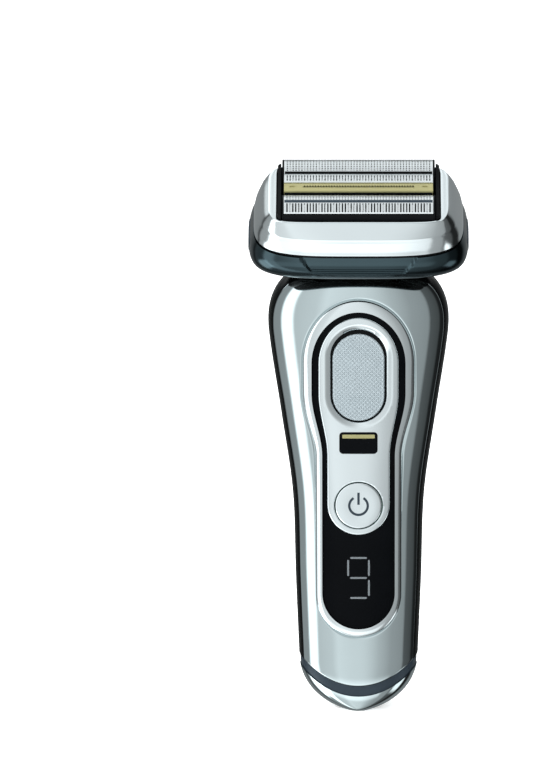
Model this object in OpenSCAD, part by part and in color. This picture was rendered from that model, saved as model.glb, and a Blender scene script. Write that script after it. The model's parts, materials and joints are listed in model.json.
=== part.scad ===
// Cordless foil shaver with a tilting head, a lift-off cutting cassette, four floating
// cutting elements, a tilt lock, a rear long-hair trimmer and a mains inlet in the foot.
//
// Frame: X to the right, the front faces -Y, Z up along the handle. The origin is the centre
// of the inlet's mouth at the lower tip of the handle. All sizes are millimetres.

/* [Handle] */
// Half width of the handle at its shoulder
shoulder_half_width = 26.8; // [26.6:0.1:27.2]
// Half width of the handle just above its rounded foot
foot_half_width = 17.8; // [17.6:0.1:18.2]
// Height of the rounded foot
foot_h = 16; // [15:0.5:17]
// Wall thickness of the covers
wall = 1.8; // [1.6:0.1:1.9]
// Width of the dark rim that the rear cover leaves round the front cover
dark_rim = 1.4; // [1.2:0.1:1.6]

/* [Controls] */
// Height of the centre of the thumb recess
thumb_z = 103; // [102.5:0.5:103.5]
// Height of the centre of the power button
button_z = 63.6; // [62.6:0.5:64.6]
// Radius of the power button
button_r = 6.95; // [6.5:0.05:7]
// How far the tilt lock slides up
lock_travel = 1.6; // [1.4:0.1:1.6]

/* [Head] */
// Forward lean of the head at rest, in degrees
head_tilt = 27; // [25:1:28]
// Height of the centre of the parting plane between base and cassette
head_z = 148.8; // [148.8:0.1:149.4]
// Width of the dark gap between base and cassette
parting_gap = 0.8; // [0.6:0.1:0.9]

/* [Cutting elements] */
// Half length of the foils
foil_half_length = 22; // [21.6:0.1:22]
// Radius of a foil's crown
foil_r = 4; // [3.9:0.05:4]
// Stroke of the cutters to each side
stroke = 1.2; // [0.8:0.1:1.2]

/* [Hidden] */
$fn = 32;

far = 60;
tiny = 0.01;

// ---- Curves --------------------------------------------------------------------------------

function blend(a, b, t) = a + (b - a) * t;
// Slope of column c of a table at row i
function rise(table, i, c) =
    let (low = max(i - 1, 0), high = min(i + 1, len(table) - 1))
    (table[high][c] - table[low][c]) / (table[high][0] - table[low][0]);
// Smooth curve through column c of a table whose first column rises
function along(table, at, c) =
    let (i = max([for (k = [0:len(table) - 2]) at >= table[k][0] ? k : 0]))
    let (h = table[i + 1][0] - table[i][0], s = (at - table[i][0]) / h)
    blend(table[i][c], table[i + 1][c], s * s * (3 - 2 * s))
    + h * s * (1 - s) * ((1 - s) * rise(table, i, c) - s * rise(table, i + 1, c));
// Cosine or sine value pushed outwards, for the rounded box sections
function bow(value, power) = sign(value) * pow(abs(value), 2 / power);
// Closed section at height z; a different depth in front (-Y) and behind
function section(z, half_width, front, back, power, count) =
    [for (i = [0:count - 1]) let (a = 360 * i / count)
        [half_width * bow(cos(a), power), (sin(a) < 0 ? front : back) * bow(sin(a), power), z]];
// Smooth step from 0 to 1
function ease(t) = let (s = min(max(t, 0), 1)) s * s * (3 - 2 * s);

// Solid through a stack of sections with the same number of points
module loft(rings) {
    n = len(rings[0]);
    m = len(rings);
    sides = [for (j = [0:m - 2], i = [0:n - 1]) let (k = (i + 1) % n)
        each [[j * n + i, (j + 1) * n + i, (j + 1) * n + k], [j * n + i, (j + 1) * n + k, j * n + k]]];
    ends = [[for (i = [0:n - 1]) i], [for (i = [n - 1:-1:0]) (m - 1) * n + i]];
    polyhedron(points = [for (ring = rings) each ring], faces = concat(sides, ends));
}

// A smooth shell is kept as one closed mesh
module as_mesh() resize([0, 0, 0]) children();

// Box from its lowest to its highest corner
module box(low, high) translate(low) cube(high - low);
// Round bar along X, Y or Z from its start point
module bar_x(start, r, length) translate(start) rotate([0, 90, 0]) cylinder(r = r, h = length);
module bar_y(start, r, length) translate(start) rotate([-90, 0, 0]) cylinder(r = r, h = length);
module bar_z(start, r, length) translate(start) cylinder(r = r, h = length);
module both_sides() {
    children();
    mirror([1, 0, 0]) children();
}

// ---- Handle shape --------------------------------------------------------------------------

// Height, half width, depth in front of the axis, depth behind it
handle_table = [
    [foot_h, foot_half_width, 12.0, 12.5],
    [40, 18.8, 12.4, 13.0],
    [66, 19.7, 12.8, 14.0],
    [90, 23.1, 13.8, 16.6],
    [115, shoulder_half_width, 15.0, 17.2],
    [124, shoulder_half_width, 15.2, 17.2]
];
handle_power = 2.6;
handle_points = 36;
foot_start = 12;
foot_steps = 7;
foot_depth = 0.6;
shoulder_z = 118.5;
shoulder_rows = 10;
corner_steps = 6;
corner = [10.8, 4, 14.5];
handle_top = shoulder_z + corner[2];

// Height, half width, front and back depth of the handle grown by g
function foot_row(a, g) =
    let (depth = foot_depth + (1 - foot_depth) * sin(a))
    [foot_h - (foot_h + g) * cos(a) / cos(foot_start), (foot_half_width + g) * sin(a),
        (handle_table[0][2] + g) * depth, (handle_table[0][3] + g) * depth];
function side_row(z, g) =
    [z, along(handle_table, z, 1) + g, along(handle_table, z, 2) + g, along(handle_table, z, 3) + g];
function corner_row(a, g) =
    let (full = side_row(shoulder_z, 0))
    [shoulder_z + (corner[2] + g) * sin(a), full[1] - corner[0] + (corner[0] + g) * cos(a),
        full[2] - corner[1] + (corner[1] + g) * cos(a), full[3] - corner[1] + (corner[1] + g) * cos(a)];
function handle_rows(g) = concat(
    [for (i = [0:foot_steps]) foot_row(blend(foot_start, 90, i / foot_steps), g)],
    [for (i = [1:shoulder_rows]) side_row(blend(foot_h, shoulder_z, i / shoulder_rows), g)],
    [for (i = [1:corner_steps]) corner_row(90 * i / corner_steps, g)]);

module handle_solid(g)
    loft([for (r = handle_rows(g)) section(r[0], r[1], r[2], r[3], handle_power, handle_points)]);
// Skin of the handle between two growths
module skin(low, high) difference() {
    handle_solid(high);
    handle_solid(low);
}
// Stands a front view outline up and pushes it from the plane y to the front, or from y to the back
module to_front(y) translate([0, y, 0]) rotate([90, 0, 0]) linear_extrude(far) children();
module to_back(y) translate([0, y + far, 0]) rotate([90, 0, 0]) linear_extrude(far) children();

// ---- Outlines in the front view ------------------------------------------------------------

function mirrored(points) =
    concat(points, [for (i = [len(points) - 1:-1:0]) [-points[i][0], points[i][1]]]);
module handle_outline() polygon(mirrored([for (r = handle_rows(0)) [r[1], r[0]]]));

// The covers end at the foot along a smile: its height on the axis, and its rise at the side
smile_rise = 8.2;
smile_at = 17.3;
band_h = 2.7;
cover_foot_z = 8.2;
module below_smile(z) polygon(concat(
    [for (x = [-30:3:30]) [x, z + smile_rise * pow(x / smile_at, 2)]], [[30, -far], [-30, -far]]));
module front_outline() difference() {
    offset(delta = -dark_rim) handle_outline();
    below_smile(cover_foot_z);
}

// The control field: wide and arched above, narrow with a round end below
arch_z = 106.5;
waist = [78.5, 97.5];
function field_edge(upper, top, lower, bottom) = concat(
    [for (a = [-90:10:0]) [lower * cos(a), bottom + lower + lower * sin(a)]],
    [for (t = [0:0.125:1]) [blend(lower, upper, ease(t)), blend(waist[0], waist[1], t)]],
    [for (a = [0:10:90]) [upper * cos(a), arch_z + (top - arch_z) * sin(a)]]);
module rim_outline() polygon(mirrored(field_edge(16.6, 125.8, 12.8, 23.5)));
module window_outline() polygon(mirrored(field_edge(13.8, 122.1, 10.7, 26.1)));
module panel_outline() polygon(mirrored(field_edge(12, 120.7, 9.4, 54.6)));
module pill(r, half_gap, z) hull() {
    translate([0, z - half_gap]) circle(r);
    translate([0, z + half_gap]) circle(r);
}
thumb_r = 9.4;
thumb_gap = 5.9;
module thumb_outline() pill(thumb_r, thumb_gap, thumb_z);
lens = [11.2, 6.4];
lens_z = 82.7;
lens_corner = 1;
module lens_outline() translate([0, lens_z]) offset(r = lens_corner)
    square([lens[0] - 2 * lens_corner, lens[1] - 2 * lens_corner], center = true);

// Depths of the control layers below and above the handle's skin
rim_seat = -0.9;
rim_top = 0.9;
window_top = 0.1;
panel_seat = -0.3;
panel_top = 0.7;
gap = 0.3;
slip = 0.05;

// ---- Handle covers -------------------------------------------------------------------------

front_edge_y = -6;
module front_region() difference() {
    to_front(front_edge_y) front_outline();
    box([-far, -11, handle_top - wall - 0.8], [far, far, far * 3]);
}

module front_cover() color("silver") as_mesh() difference() {
    intersection() {
        skin(-wall, 0);
        front_region();
    }
    intersection() {
        skin(rim_seat, 2);
        to_front(-2) rim_outline();
    }
    to_front(-2) {
        translate([0, button_z]) circle(button_r + 1.2);
        translate([-display_half[0] - gap, display_z - display_half[1] - gap])
            square([2 * (display_half[0] + gap), 2 * (display_half[1] + gap)]);
        translate([-stem_half - gap, stem_z[0] - gap])
            square([2 * (stem_half + gap), stem_z[1] - stem_z[0] + lock_travel + 2 * gap]);
        translate([-stem_half - gap, lens_z - lens[1] / 2])
            square([2 * (stem_half + gap), lens[1]]);
    }
}

// Bay in the back of the handle for the long-hair trimmer
bay_half = 15.5;
bay_floor_y = 13;
bay_wall = 1.2;
bay_z = 88;
module bay() box([-bay_half, bay_floor_y, bay_z], [bay_half, far, handle_top + 5]);
module bay_lining() intersection() {
    handle_solid(0);
    box([-bay_half - bay_wall, bay_floor_y - bay_wall, bay_z - bay_wall],
        [bay_half + bay_wall, far, handle_top + 1]);
}

// Pivot axis of the head, along X, and how far the head leans back and forward from rest
tilt_range = [-24, 16];
tilt_step = 8;
pivot_drop = 4;
head_y = -8.25;
pivot_y = head_y + pivot_drop * sin(head_tilt);
pivot_z = head_z - pivot_drop * cos(head_tilt);
ear_x = [10.6, 13.4];
ear_half = 3.2;
latch_half = 2.3;
latch_y = [-1.2, 1.2];
module neck_openings(play, low, high) {
    both_sides() box([ear_x[0] - play, pivot_y - ear_half - play, low],
        [ear_x[1] + play, pivot_y + ear_half + play, high]);
    box([-latch_half - gap, pivot_y + latch_y[0] - gap, low],
        [latch_half + gap, pivot_y + latch_y[1] + gap, high]);
}

saddle_r = 13.7;
grip_low = -0.7;
grip_high = 0.5;
module grip_outline() pill(11.5, 18, 53);
screw_x = 12.2;
screw_z = [25, 82];
screw_head_r = 1.9;
module screw_spots() both_sides() for (z = screw_z) translate([screw_x, 0, z]) children();
screw_seat = [9.2, 10.4];
screw_r = 0.9;
screw_tip_y = 3;

module rear_cover() color("dimgray") as_mesh() difference() {
    union() {
        difference() {
            skin(-wall, 0);
            front_region();
            to_front(far / 2) below_smile(cover_foot_z);
        }
        bay_lining();
        intersection() {
            handle_solid(-0.5);
            screw_spots() bar_y([0, 6.5, 0], 2.8, 10);
        }
    }
    bay();
    neck_openings(gap, handle_top - 5, handle_top + 5);
    bar_x([-far, pivot_y, pivot_z], saddle_r, 2 * far);
    intersection() {
        skin(grip_low, 3);
        to_back(2) grip_outline();
    }
    screw_spots() {
        bar_y([0, screw_seat[0], 0], screw_head_r, far);
        bar_y([0, 5, 0], screw_r + slip, far);
    }
    both_sides() bar_y([contact_x, 5, contact_z], contact_r + slip, far);
}

module rear_grip() color("black") as_mesh() intersection() {
    skin(grip_low, grip_high);
    to_back(2) grip_outline();
}

module bottom_band() color("slategray") as_mesh() intersection() {
    skin(-wall, -0.3);
    to_front(far / 2) difference() {
        below_smile(cover_foot_z);
        below_smile(cover_foot_z - band_h);
    }
}

// Mains inlet in the foot
inlet = [5.8, 3.1, 11];
inlet_wall = 1.1;
module inlet_body(extra) box([-inlet[0] - inlet_wall, -inlet[1] - inlet_wall, -1],
    [inlet[0] + inlet_wall, inlet[1] + inlet_wall, inlet[2] + extra]);

module bottom_cap() color("silver") as_mesh() difference() {
    intersection() {
        skin(-wall, 0);
        to_front(far / 2) below_smile(cover_foot_z - band_h);
    }
    inlet_body(1);
}

module power_socket() color("black") as_mesh() difference() {
    intersection() {
        inlet_body(1.5);
        handle_solid(0);
    }
    box([-inlet[0], -inlet[1], -1], [inlet[0], inlet[1], inlet[2]]);
}

pin_x = 2.9;
pin_r = 1.15;
pin_tip_z = 5.5;
module socket_pins() color("gold") both_sides()
    bar_z([pin_x, 0, pin_tip_z], pin_r, inlet[2] - pin_tip_z);

contact_x = 5;
contact_z = 19.5;
contact_r = 1.6;
module charge_contacts() color("gold") both_sides() {
    bar_y([contact_x, 8.6, contact_z], contact_r, 3.6);
    bar_y([contact_x, 12.2, contact_z], contact_r - 0.4, 0.5);
}

module case_screws() color("gray") screw_spots() difference() {
    union() {
        bar_y([0, screw_seat[0], 0], screw_head_r - slip, screw_seat[1] - screw_seat[0]);
        bar_y([0, screw_tip_y, 0], screw_r, screw_seat[0] - screw_tip_y);
    }
    translate([0, screw_seat[1] - 0.7, 0]) rotate([-90, 0, 0]) cylinder(r = 0.9, h = 2, $fn = 6);
}

// Seal behind the seam between the front and rear covers
seal_h = 0.8;
seal_top = 120;
module body_seal() color("black") as_mesh() intersection() {
    skin(-wall - seal_h, -wall);
    to_front(-3) difference() {
        offset(delta = -0.6) front_outline();
        offset(delta = -2) front_outline();
        translate([-far, seal_top]) square(2 * far);
    }
}

module neck_seal() color("black") difference() {
    translate([0, 0, handle_top - wall - 1.6]) linear_extrude(1)
        polygon([for (p = section(0, 17.6, 10.2, 9, handle_power, handle_points)) [p[0], p[1]]]);
    neck_openings(0, 100, 200);
    box([-latch_half - gap, pivot_y - 3, 100], [latch_half + gap, pivot_y + 3, 200]);
}

// ---- Controls ------------------------------------------------------------------------------

module field_layer(low, high) intersection() {
    skin(low, high);
    to_front(-2) children();
}

module control_rim() color("gainsboro") as_mesh() field_layer(rim_seat, rim_top) difference() {
    rim_outline();
    offset(delta = slip) window_outline();
}

module display_window() color("black") as_mesh() difference() {
    field_layer(rim_seat, window_top) window_outline();
    field_layer(panel_seat, 2) offset(delta = slip) panel_outline();
    to_front(-2) thumb_outline();
    to_front(-2) offset(delta = -0.8) lens_outline();
    to_front(-2) translate([0, button_z]) circle(button_r + gap);
}

module control_panel() color("lightgray") as_mesh() difference() {
    field_layer(panel_seat, panel_top) panel_outline();
    to_front(-2) thumb_outline();
    to_front(-2) offset(delta = slip) lens_outline();
    to_front(-2) translate([0, button_z]) circle(button_r + gap);
}

module lock_window() color("black") as_mesh() field_layer(panel_seat, 0.5) lens_outline();

// The tilt lock: a textured thumb pad, a flag behind the lens and a latch bar to the head
pad_r = 8;
pad_gap = 5.6;
pad_drop = 0.3;
pad_layer = [-0.7, -0.05];
stem_half = 5;
stem_z = [92, 106];
latch_reach = 13.3;
module lock_slider() color("lightsteelblue") {
    as_mesh() {
        field_layer(pad_layer[0], pad_layer[1]) pill(pad_r, pad_gap, thumb_z - pad_drop);
        intersection() {
            handle_solid(-0.3);
            box([-stem_half, -far, stem_z[0]], [stem_half, -8.8, stem_z[1]]);
        }
    }
    box([-stem_half, -9, 96], [stem_half, pivot_y + latch_y[1], 100]);
    box([-latch_half, pivot_y + latch_y[0], 97], [latch_half, pivot_y + latch_y[1], 129]);
    box([-latch_half, pivot_y - 0.5, 128], [latch_half, pivot_y + 0.5, pivot_z - latch_reach]);
    box([-stem_half, -11.1, lens_z - 3.7], [stem_half, -10.7, stem_z[0] + 1]);
}

button_face = 0.95;
module power_button() color("gainsboro") {
    face_y = -side_row(button_z, button_face)[2];
    flange_y = -11.3;
    bar_y([0, face_y, button_z], button_r, flange_y - face_y + 0.2);
    bar_y([0, flange_y, button_z], button_r + 0.8, 0.4);
}

board_y = [-9.2, -8];
board_z = [25, 84];
module main_board() color("darkgreen") {
    box([-8.8, board_y[0], board_z[0]], [8.8, board_y[1], board_z[1]]);
    for (z = [36, 52, 68]) box([-3, board_y[1], z - 3], [3, board_y[1] + 0.9, z + 3]);
    both_sides() box([5.2, board_y[1], 75], [7.4, board_y[1] + 1.4, 79]);
}

module power_switch() color("dimgray") {
    box([-3, board_y[0] - 0.8, button_z - 3], [3, board_y[0], button_z + 3]);
    bar_y([0, board_y[0] - 1.1, button_z], 1.2, 0.4);
}

display_z = 41.5;
display_half = [5.2, 7.5];
module display_module() color("black")
    box([-display_half[0], board_y[0] - 1.8, display_z - display_half[1]],
        [display_half[0], board_y[0], display_z + display_half[1]]);

// ---- Power and frame inside the handle -----------------------------------------------------

cell_r = 8;
cell_y = 1.8;
cell_z = [22, 72];
module battery_cell() color("royalblue") bar_z([0, cell_y, cell_z[0]], cell_r, cell_z[1] - cell_z[0]);

module battery_tabs() color("silver") {
    box([-3, 0, cell_z[0] - 0.5], [3, 6, cell_z[0]]);
    box([-3, 0, cell_z[1]], [3, 6, cell_z[1] + 0.4]);
    box([-1, board_y[1], cell_z[1]], [1, 0, cell_z[1] + 0.4]);
}

rail_x = [10.2, 13.8];
rail_y = [-4, 6];
frame_z = [19.8, 112];
bridge_half = 16.5;
pin_radius = 2;
module chassis() color("darkslategray") difference() {
    union() {
        both_sides() {
            box([rail_x[0], rail_y[0], frame_z[0]], [rail_x[1], rail_y[1], frame_z[1]]);
            for (z = [29, 79]) box([7, board_y[1], z], [11.8, rail_y[0], z + 3]);
            box([ear_x[0], pivot_y - ear_half, frame_z[1] - 4], [ear_x[1], pivot_y + ear_half, pivot_z]);
            bar_x([ear_x[0], pivot_y, pivot_z], ear_half, ear_x[1] - ear_x[0]);
        }
        box([-rail_x[1], rail_y[0], frame_z[0]], [rail_x[1], rail_y[1], frame_z[0] + 1.6]);
        box([-rail_x[1], rail_y[0], 73.2], [rail_x[1], rail_y[1], 74.8]);
        box([-bridge_half, pivot_y - 4, frame_z[1] - 4], [bridge_half, rail_y[1], frame_z[1]]);
    }
    box([-latch_half - gap, pivot_y - 5, frame_z[1] - 5],
        [latch_half + gap, pivot_y + latch_y[1] + gap, frame_z[1] + 1]);
    bar_x([-far / 2, pivot_y, pivot_z], pin_radius + slip, far);
    screw_spots() bar_y([0, screw_tip_y - 0.2, 0], screw_r + slip, far);
}

bush_x = [13.8, 17];
module pivot_pins() color("silver") both_sides()
    bar_x([ear_x[0], pivot_y, pivot_z], pin_radius, bush_x[1] - ear_x[0]);

// ---- Long-hair trimmer in the back ---------------------------------------------------------

trimmer_back = 17.3;
trimmer_half = bay_half - gap;
// Crowned section of the trimmer between two depths; its back follows the handle
module trimmer_slab(y, half, back, low, high) translate([0, 0, low]) linear_extrude(high - low)
    polygon(concat([[half, y], [-half, y]], [for (t = [-1:0.125:1])
        [half * t, back * pow(1 - pow(abs(half * t) / shoulder_half_width, handle_power), 1 / handle_power)]]));
blade_z = 127;
carrier_z = [89, 119];
thumb_slot = [6.4, 99, 112];
module trimmer_carrier() color("dimgray") difference() {
    union() {
        trimmer_slab(bay_floor_y + gap, trimmer_half, trimmer_back, carrier_z[0], carrier_z[1]);
        box([-13, bay_floor_y + gap, carrier_z[1]], [13, 14.6, 123]);
    }
    box([-thumb_slot[0], bay_floor_y + 1.2, thumb_slot[1]], [thumb_slot[0], far, thumb_slot[2]]);
}

module trimmer_button() color("gray") difference() {
    box([-thumb_slot[0] + gap, bay_floor_y + 2.2, thumb_slot[1] + gap],
        [thumb_slot[0] - gap, trimmer_back + 0.9, thumb_slot[2] - gap]);
    for (z = [thumb_slot[1] + 2.5:2:thumb_slot[2] - 2])
        box([-far, trimmer_back + 0.4, z], [far, far, z + 0.8]);
}

// Toothed plate with its tips up
module toothed(half, y, low, high, tooth_h, pitch, gap_w) difference() {
    box([-half, y[0], low], [half, y[1], high]);
    for (x = [-half + pitch / 2:pitch:half - pitch / 2])
        box([x - gap_w / 2, y[0] - 1, high - tooth_h], [x + gap_w / 2, y[1] + 1, high + 1]);
}
module trimmer_comb() color("silver")
    toothed(13, [15.3, 15.9], carrier_z[1], blade_z, 4, 1.3, 0.6);
module trimmer_blade() color("gainsboro")
    toothed(11.7, [14.7, 15.2], carrier_z[1] + 0.3, blade_z - 0.5, 3.4, 1.3, 0.7);

// ---- Head: base ----------------------------------------------------------------------------

// Places head parts: w along the head's own axis, u towards its back, origin in the parting plane
module in_head() translate([0, head_y, head_z]) rotate([head_tilt, 0, 0]) children();

head_power = 3.8;
head_points = 44;
cassette_points = 72;
belly_r = 13.2;
// Height, half width
wing_table = [[-17.2, 25.3], [-14.5, 28.6], [-11.7, 30.7], [-8.8, 31.9], [-6, 32.6], [-3, 32.2], [0, 31.2]];
// Height, half depth of the skirt above the belly
skirt_table = [[-9.1, 13.8], [-8.6, 17.6], [-7.4, 19], [-5.5, 19.9], [-3, 20.3], [0, 19.6]];
function belly_row(a, g) =
    let (w = -pivot_drop - (belly_r + g) * cos(a))
    [w, along(wing_table, max(w, -17.2), 1) + g, (belly_r + g) * sin(a)];
function skirt_row(row, g) =
    let (lift = row[0] < -5 ? -g : 0)
    [row[0] + lift, along(wing_table, row[0], 1) + g, row[1] + g];
function base_rows(g) = concat(
    [for (a = [8, 18, 28, 38, 48, 58, 66]) belly_row(a, g)],
    [for (row = skirt_table) skirt_row(row, g)]);
// Solid of the base grown by g; its straight neck of height above runs past the parting plane
module base_solid(g, above = 0) {
    rows = base_rows(g);
    top = rows[len(rows) - 1];
    loft([for (r = concat(rows, above > 0 ? [top + [above, 0, 0]] : []))
        section(r[0], r[1], r[2], r[2], head_power, head_points)]);
}

deck_wall = 1.5;
deck_low = -2.2;
boss_spots = [26, 9];
module head_screw_spots() for (sx = [-1, 1], su = [-1, 1])
    translate([sx * boss_spots[0], su * boss_spots[1], 0]) children();

// Opening for the ears of the chassis, over the whole tilt
module ear_sweep() both_sides()
    box([ear_x[0] - gap - 0.3, -12.7, -far], [ear_x[1] + gap + 0.3, 4.4, -pivot_drop]);
rack_half = 3;
rack_range = 28;
rack_r = [11, 13];
module rack_window() box([-rack_half, -10.6, -far], [rack_half, 1.6, -pivot_drop - 6]);
button_u = 6;
button_w = [-7.15, -3.2];
module side_button(grow) rotate([0, 90, 0]) linear_extrude(far) offset(r = 1.2 + grow)
    polygon([[-button_w[0] - 1.2, button_u - 1.2], [-button_w[1] + 1.2, button_u - 1.2],
        [-button_w[1] + 1.2, -button_u + 1.2], [-button_w[0] - 1.2, -button_u + 1.2]]);

module head_base() color("silver") in_head() as_mesh() difference() {
    union() {
        difference() {
            base_solid(0);
            base_solid(-deck_wall, 2);
        }
        intersection() {
            base_solid(-0.4);
            head_screw_spots() bar_z([0, 0, -14], 2.4, 14 + deck_low);
        }
    }
    ear_sweep();
    rack_window();
    both_sides() side_button(gap);
    head_screw_spots() bar_z([0, 0, -8], 0.9, 10);
}

module deck_outline(shrink) plan(31.2 - deck_wall - shrink, 19.6 - deck_wall - shrink);

front_u = -9.1;
rear_u = 9.1;
gold_u = -2.55;
comb_u = 2.4;
post_r = 1.5;
small_post_r = 0.9;
small_post_x = 7;
module post_slots(low, high) {
    for (u = [front_u, rear_u])
        box([-post_r - stroke - 0.5, u - post_r - 0.4, low], [post_r + stroke + 0.5, u + post_r + 0.4, high]);
    for (s = [[small_post_x, gold_u], [-small_post_x, comb_u]])
        box([s[0] - small_post_r - stroke - 0.4, s[1] - small_post_r - 0.35, low],
            [s[0] + small_post_r + stroke + 0.4, s[1] + small_post_r + 0.35, high]);
}

bush_r = 3.2;
catch_x = [26.4, 28.6];
module head_deck() color("black") in_head() difference() {
    union() {
        translate([0, 0, deck_low]) linear_extrude(-deck_low) deck_outline(slip);
        linear_extrude(parting_gap - 0.1) deck_outline(-deck_wall + 0.4);
        both_sides() box([bush_x[0], -4.6, -8.4], [bush_x[1], 4.6, deck_low + tiny]);
    }
    post_slots(-5, 5);
    both_sides() {
        bar_x([bush_x[0] - tiny, 0, -pivot_drop], bush_r, bush_x[1] - bush_x[0] + 1);
        bar_x([ear_x[0] - gap, 0, -pivot_drop], ear_half + gap, bush_x[0] - ear_x[0] + gap);
        box([catch_x[0] - 2, -2.3, -5], [catch_x[1] + gap, 2.3, 5]);
    }
    head_screw_spots() {
        bar_z([0, 0, -5], 1.1, 10);
        bar_z([0, 0, -0.9], 1.9, 5);
    }
}

module head_screws() color("gray") in_head() head_screw_spots() difference() {
    union() {
        bar_z([0, 0, -0.9], 1.85, 1.3);
        bar_z([0, 0, -7.8], 0.85, 7);
    }
    translate([0, 0, -0.3]) cylinder(r = 0.9, h = 2, $fn = 6);
}

module pivot_bushes() color("goldenrod") in_head() both_sides() difference() {
    bar_x([bush_x[0], 0, -pivot_drop], bush_r, bush_x[1] - bush_x[0]);
    bar_x([bush_x[0] - 1, 0, -pivot_drop], pin_radius + slip, 10);
}

// Turns a profile drawn in radius and X about the pivot axis; 0 degrees points down the head's axis
module about_pivot(from, sweep) translate([0, 0, -pivot_drop]) rotate([0, 90, 0]) rotate([0, 0, from])
    rotate_extrude(angle = sweep) children();
notch_r = 11.6;
// The latch's direction from the head's axis at mid travel
latch_mid = head_tilt + (tilt_range[0] + tilt_range[1]) / 2;
module lock_rack() color("gray") in_head() difference() {
    about_pivot(-latch_mid - rack_range, 2 * rack_range)
        translate([rack_r[0], -rack_half + slip]) square([rack_r[1] - rack_r[0], 2 * (rack_half - slip)]);
    for (a = [tilt_range[0]:tilt_step:tilt_range[1]]) translate([0, 0, -pivot_drop]) rotate([-head_tilt - a, 0, 0])
        box([-far, -0.65, -rack_r[1] - 1], [far, 0.65, -notch_r]);
}

// ---- Head: linear motor --------------------------------------------------------------------

core_w = -12;
leg_top = -6.6;
core_half = 9;
module motor_core() color("gray") in_head() {
    box([-core_half, -6.5, core_w], [core_half, 6.5, core_w + 2.5]);
    for (x = [1.5 - core_half, 0, core_half - 1.5]) box([x - 1.5, -6.5, core_w], [x + 1.5, 6.5, leg_top]);
}
module motor_coil() color("orangered") in_head() difference() {
    box([-5.2, -8.2, core_w + 2.7], [5.2, 8.2, leg_top - 0.4]);
    box([-1.6, -6.6, -far], [1.6, 6.6, 0]);
}
module motor_springs() color("silver") in_head() both_sides()
    box([9.7, -8, -9], [9.9, 8, deck_low]);

armature_w = [-6.1, -4.4];
armature_half = 8.2;
module armature(side, small_x, small_u) in_head() {
    inner = 0.4;
    outer = 10.6;
    box([-armature_half, side < 0 ? -outer : inner, armature_w[0]],
        [armature_half, side < 0 ? -inner : outer, armature_w[1]]);
    bar_z([0, side < 0 ? front_u : rear_u, armature_w[1]], post_r, 9.8 - armature_w[1]);
    bar_z([small_x, small_u, armature_w[1]], small_post_r, 11.4 - armature_w[1]);
}
module front_armature() color("darkkhaki") armature(-1, small_post_x, gold_u);
module rear_armature() color("darkkhaki") armature(1, -small_post_x, comb_u);

// ---- Head: release buttons -----------------------------------------------------------------

module release_button() in_head() {
    as_mesh() intersection() {
        difference() {
            base_solid(0.2);
            base_solid(-deck_wall, 2);
        }
        side_button(0);
    }
    box([catch_x[0], -2, -6.6], [31.2, 2, -4.4]);
    box([catch_x[0], -2, -6.6], [catch_x[0] + 1.4, 2, parting_gap - 0.4]);
}
module release_button_right() color("silver") release_button();
module release_button_left() color("silver") mirror([1, 0, 0]) release_button();
module release_springs() color("silver") in_head() both_sides() bar_x([22, 0, -5.5], 1.2, 2.6);

// ---- Cassette ------------------------------------------------------------------------------

// Height, half width, half depth, squareness of the corners
cassette_table = [
    [parting_gap, 31.1, 19.5, 3.8],
    [3, 30.6, 19.2, 3.9],
    [6.1, 29.2, 18.2, 4.4],
    [7.7, 28.2, 16.6, 5.2],
    [9.3, 26.8, 14.8, 7]
];
rim_w = 9.3;
rim_row = [rim_w + 0.35, 26.3, 14.4, 7.5];
shell_wall = 1.3;
opening = [24.1, 13.4];
opening_corner = 1.4;
function cassette_row(w, g) = [w, along(cassette_table, w, 1) + g, along(cassette_table, w, 2) + g,
    along(cassette_table, w, 3)];
function cassette_rows(g) = concat(
    [for (i = [0:7]) cassette_row(blend(parting_gap, rim_w, i / 7), g)], [rim_row + [0, g, g, 0]]);
module cassette_solid(g)
    loft([for (r = cassette_rows(g)) section(r[0], r[1], r[2], r[2], r[3], cassette_points)]);
module opening_outline(grow) offset(r = opening_corner + grow)
    square([2 * (opening[0] - opening_corner), 2 * (opening[1] - opening_corner)], center = true);

module cassette_frame() color("whitesmoke") in_head() as_mesh() difference() {
    cassette_solid(0);
    intersection() {
        cassette_solid(-shell_wall);
        linear_extrude(rim_w - 1.2) square(200, center = true);
    }
    linear_extrude(far) opening_outline(0);
    translate([0, 0, -far + parting_gap + tiny]) linear_extrude(far) square(200, center = true);
}

// Black inner frame: a lattice under the elements, an end wall at each side and a lip in front and behind
lattice_w = [1.2, 2.6];
end_x = foil_half_length + 0.9;
end_top = 11.2;
lip = [13.4, 14.0];
lip_top = 7.9;
module plan(half_width, half_depth) polygon([for (p = section(0, half_width, half_depth, half_depth,
    head_power, head_points)) [p[0], p[1]]]);
slot_half = 20.8;
element_slots = [[-12.6, -5.6], [-4.3, -0.8], [0.7, 4.1], [5.6, 12.6]];
module cassette_carrier() color("black") in_head() {
    difference() {
        translate([0, 0, lattice_w[0]]) linear_extrude(lattice_w[1] - lattice_w[0]) plan(27.5, 16);
        for (s = element_slots) box([-slot_half, s[0], 0], [slot_half, s[1], 5]);
    }
    translate([0, 0, lattice_w[1] - tiny]) linear_extrude(end_top - lattice_w[1]) difference() {
        opening_outline(-0.15);
        square([2 * end_x, far], center = true);
    }
    for (u = [-lip[1], lip[0]])
        box([-slot_half, u, lattice_w[1] - tiny], [slot_half, u + lip[1] - lip[0], lip_top]);
}

spring_us = [front_u, gold_u, comb_u, rear_u];
module float_springs() color("silver") in_head() for (u = spring_us) both_sides()
    bar_z([21.6, u, lattice_w[1]], 0.7, 1.7);

// ---- Cutting elements ----------------------------------------------------------------------

crown_w = 10.75;
foil_skirt_w = 8.4;
foil_t = 0.3;
element_foot = 6.3;
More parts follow.
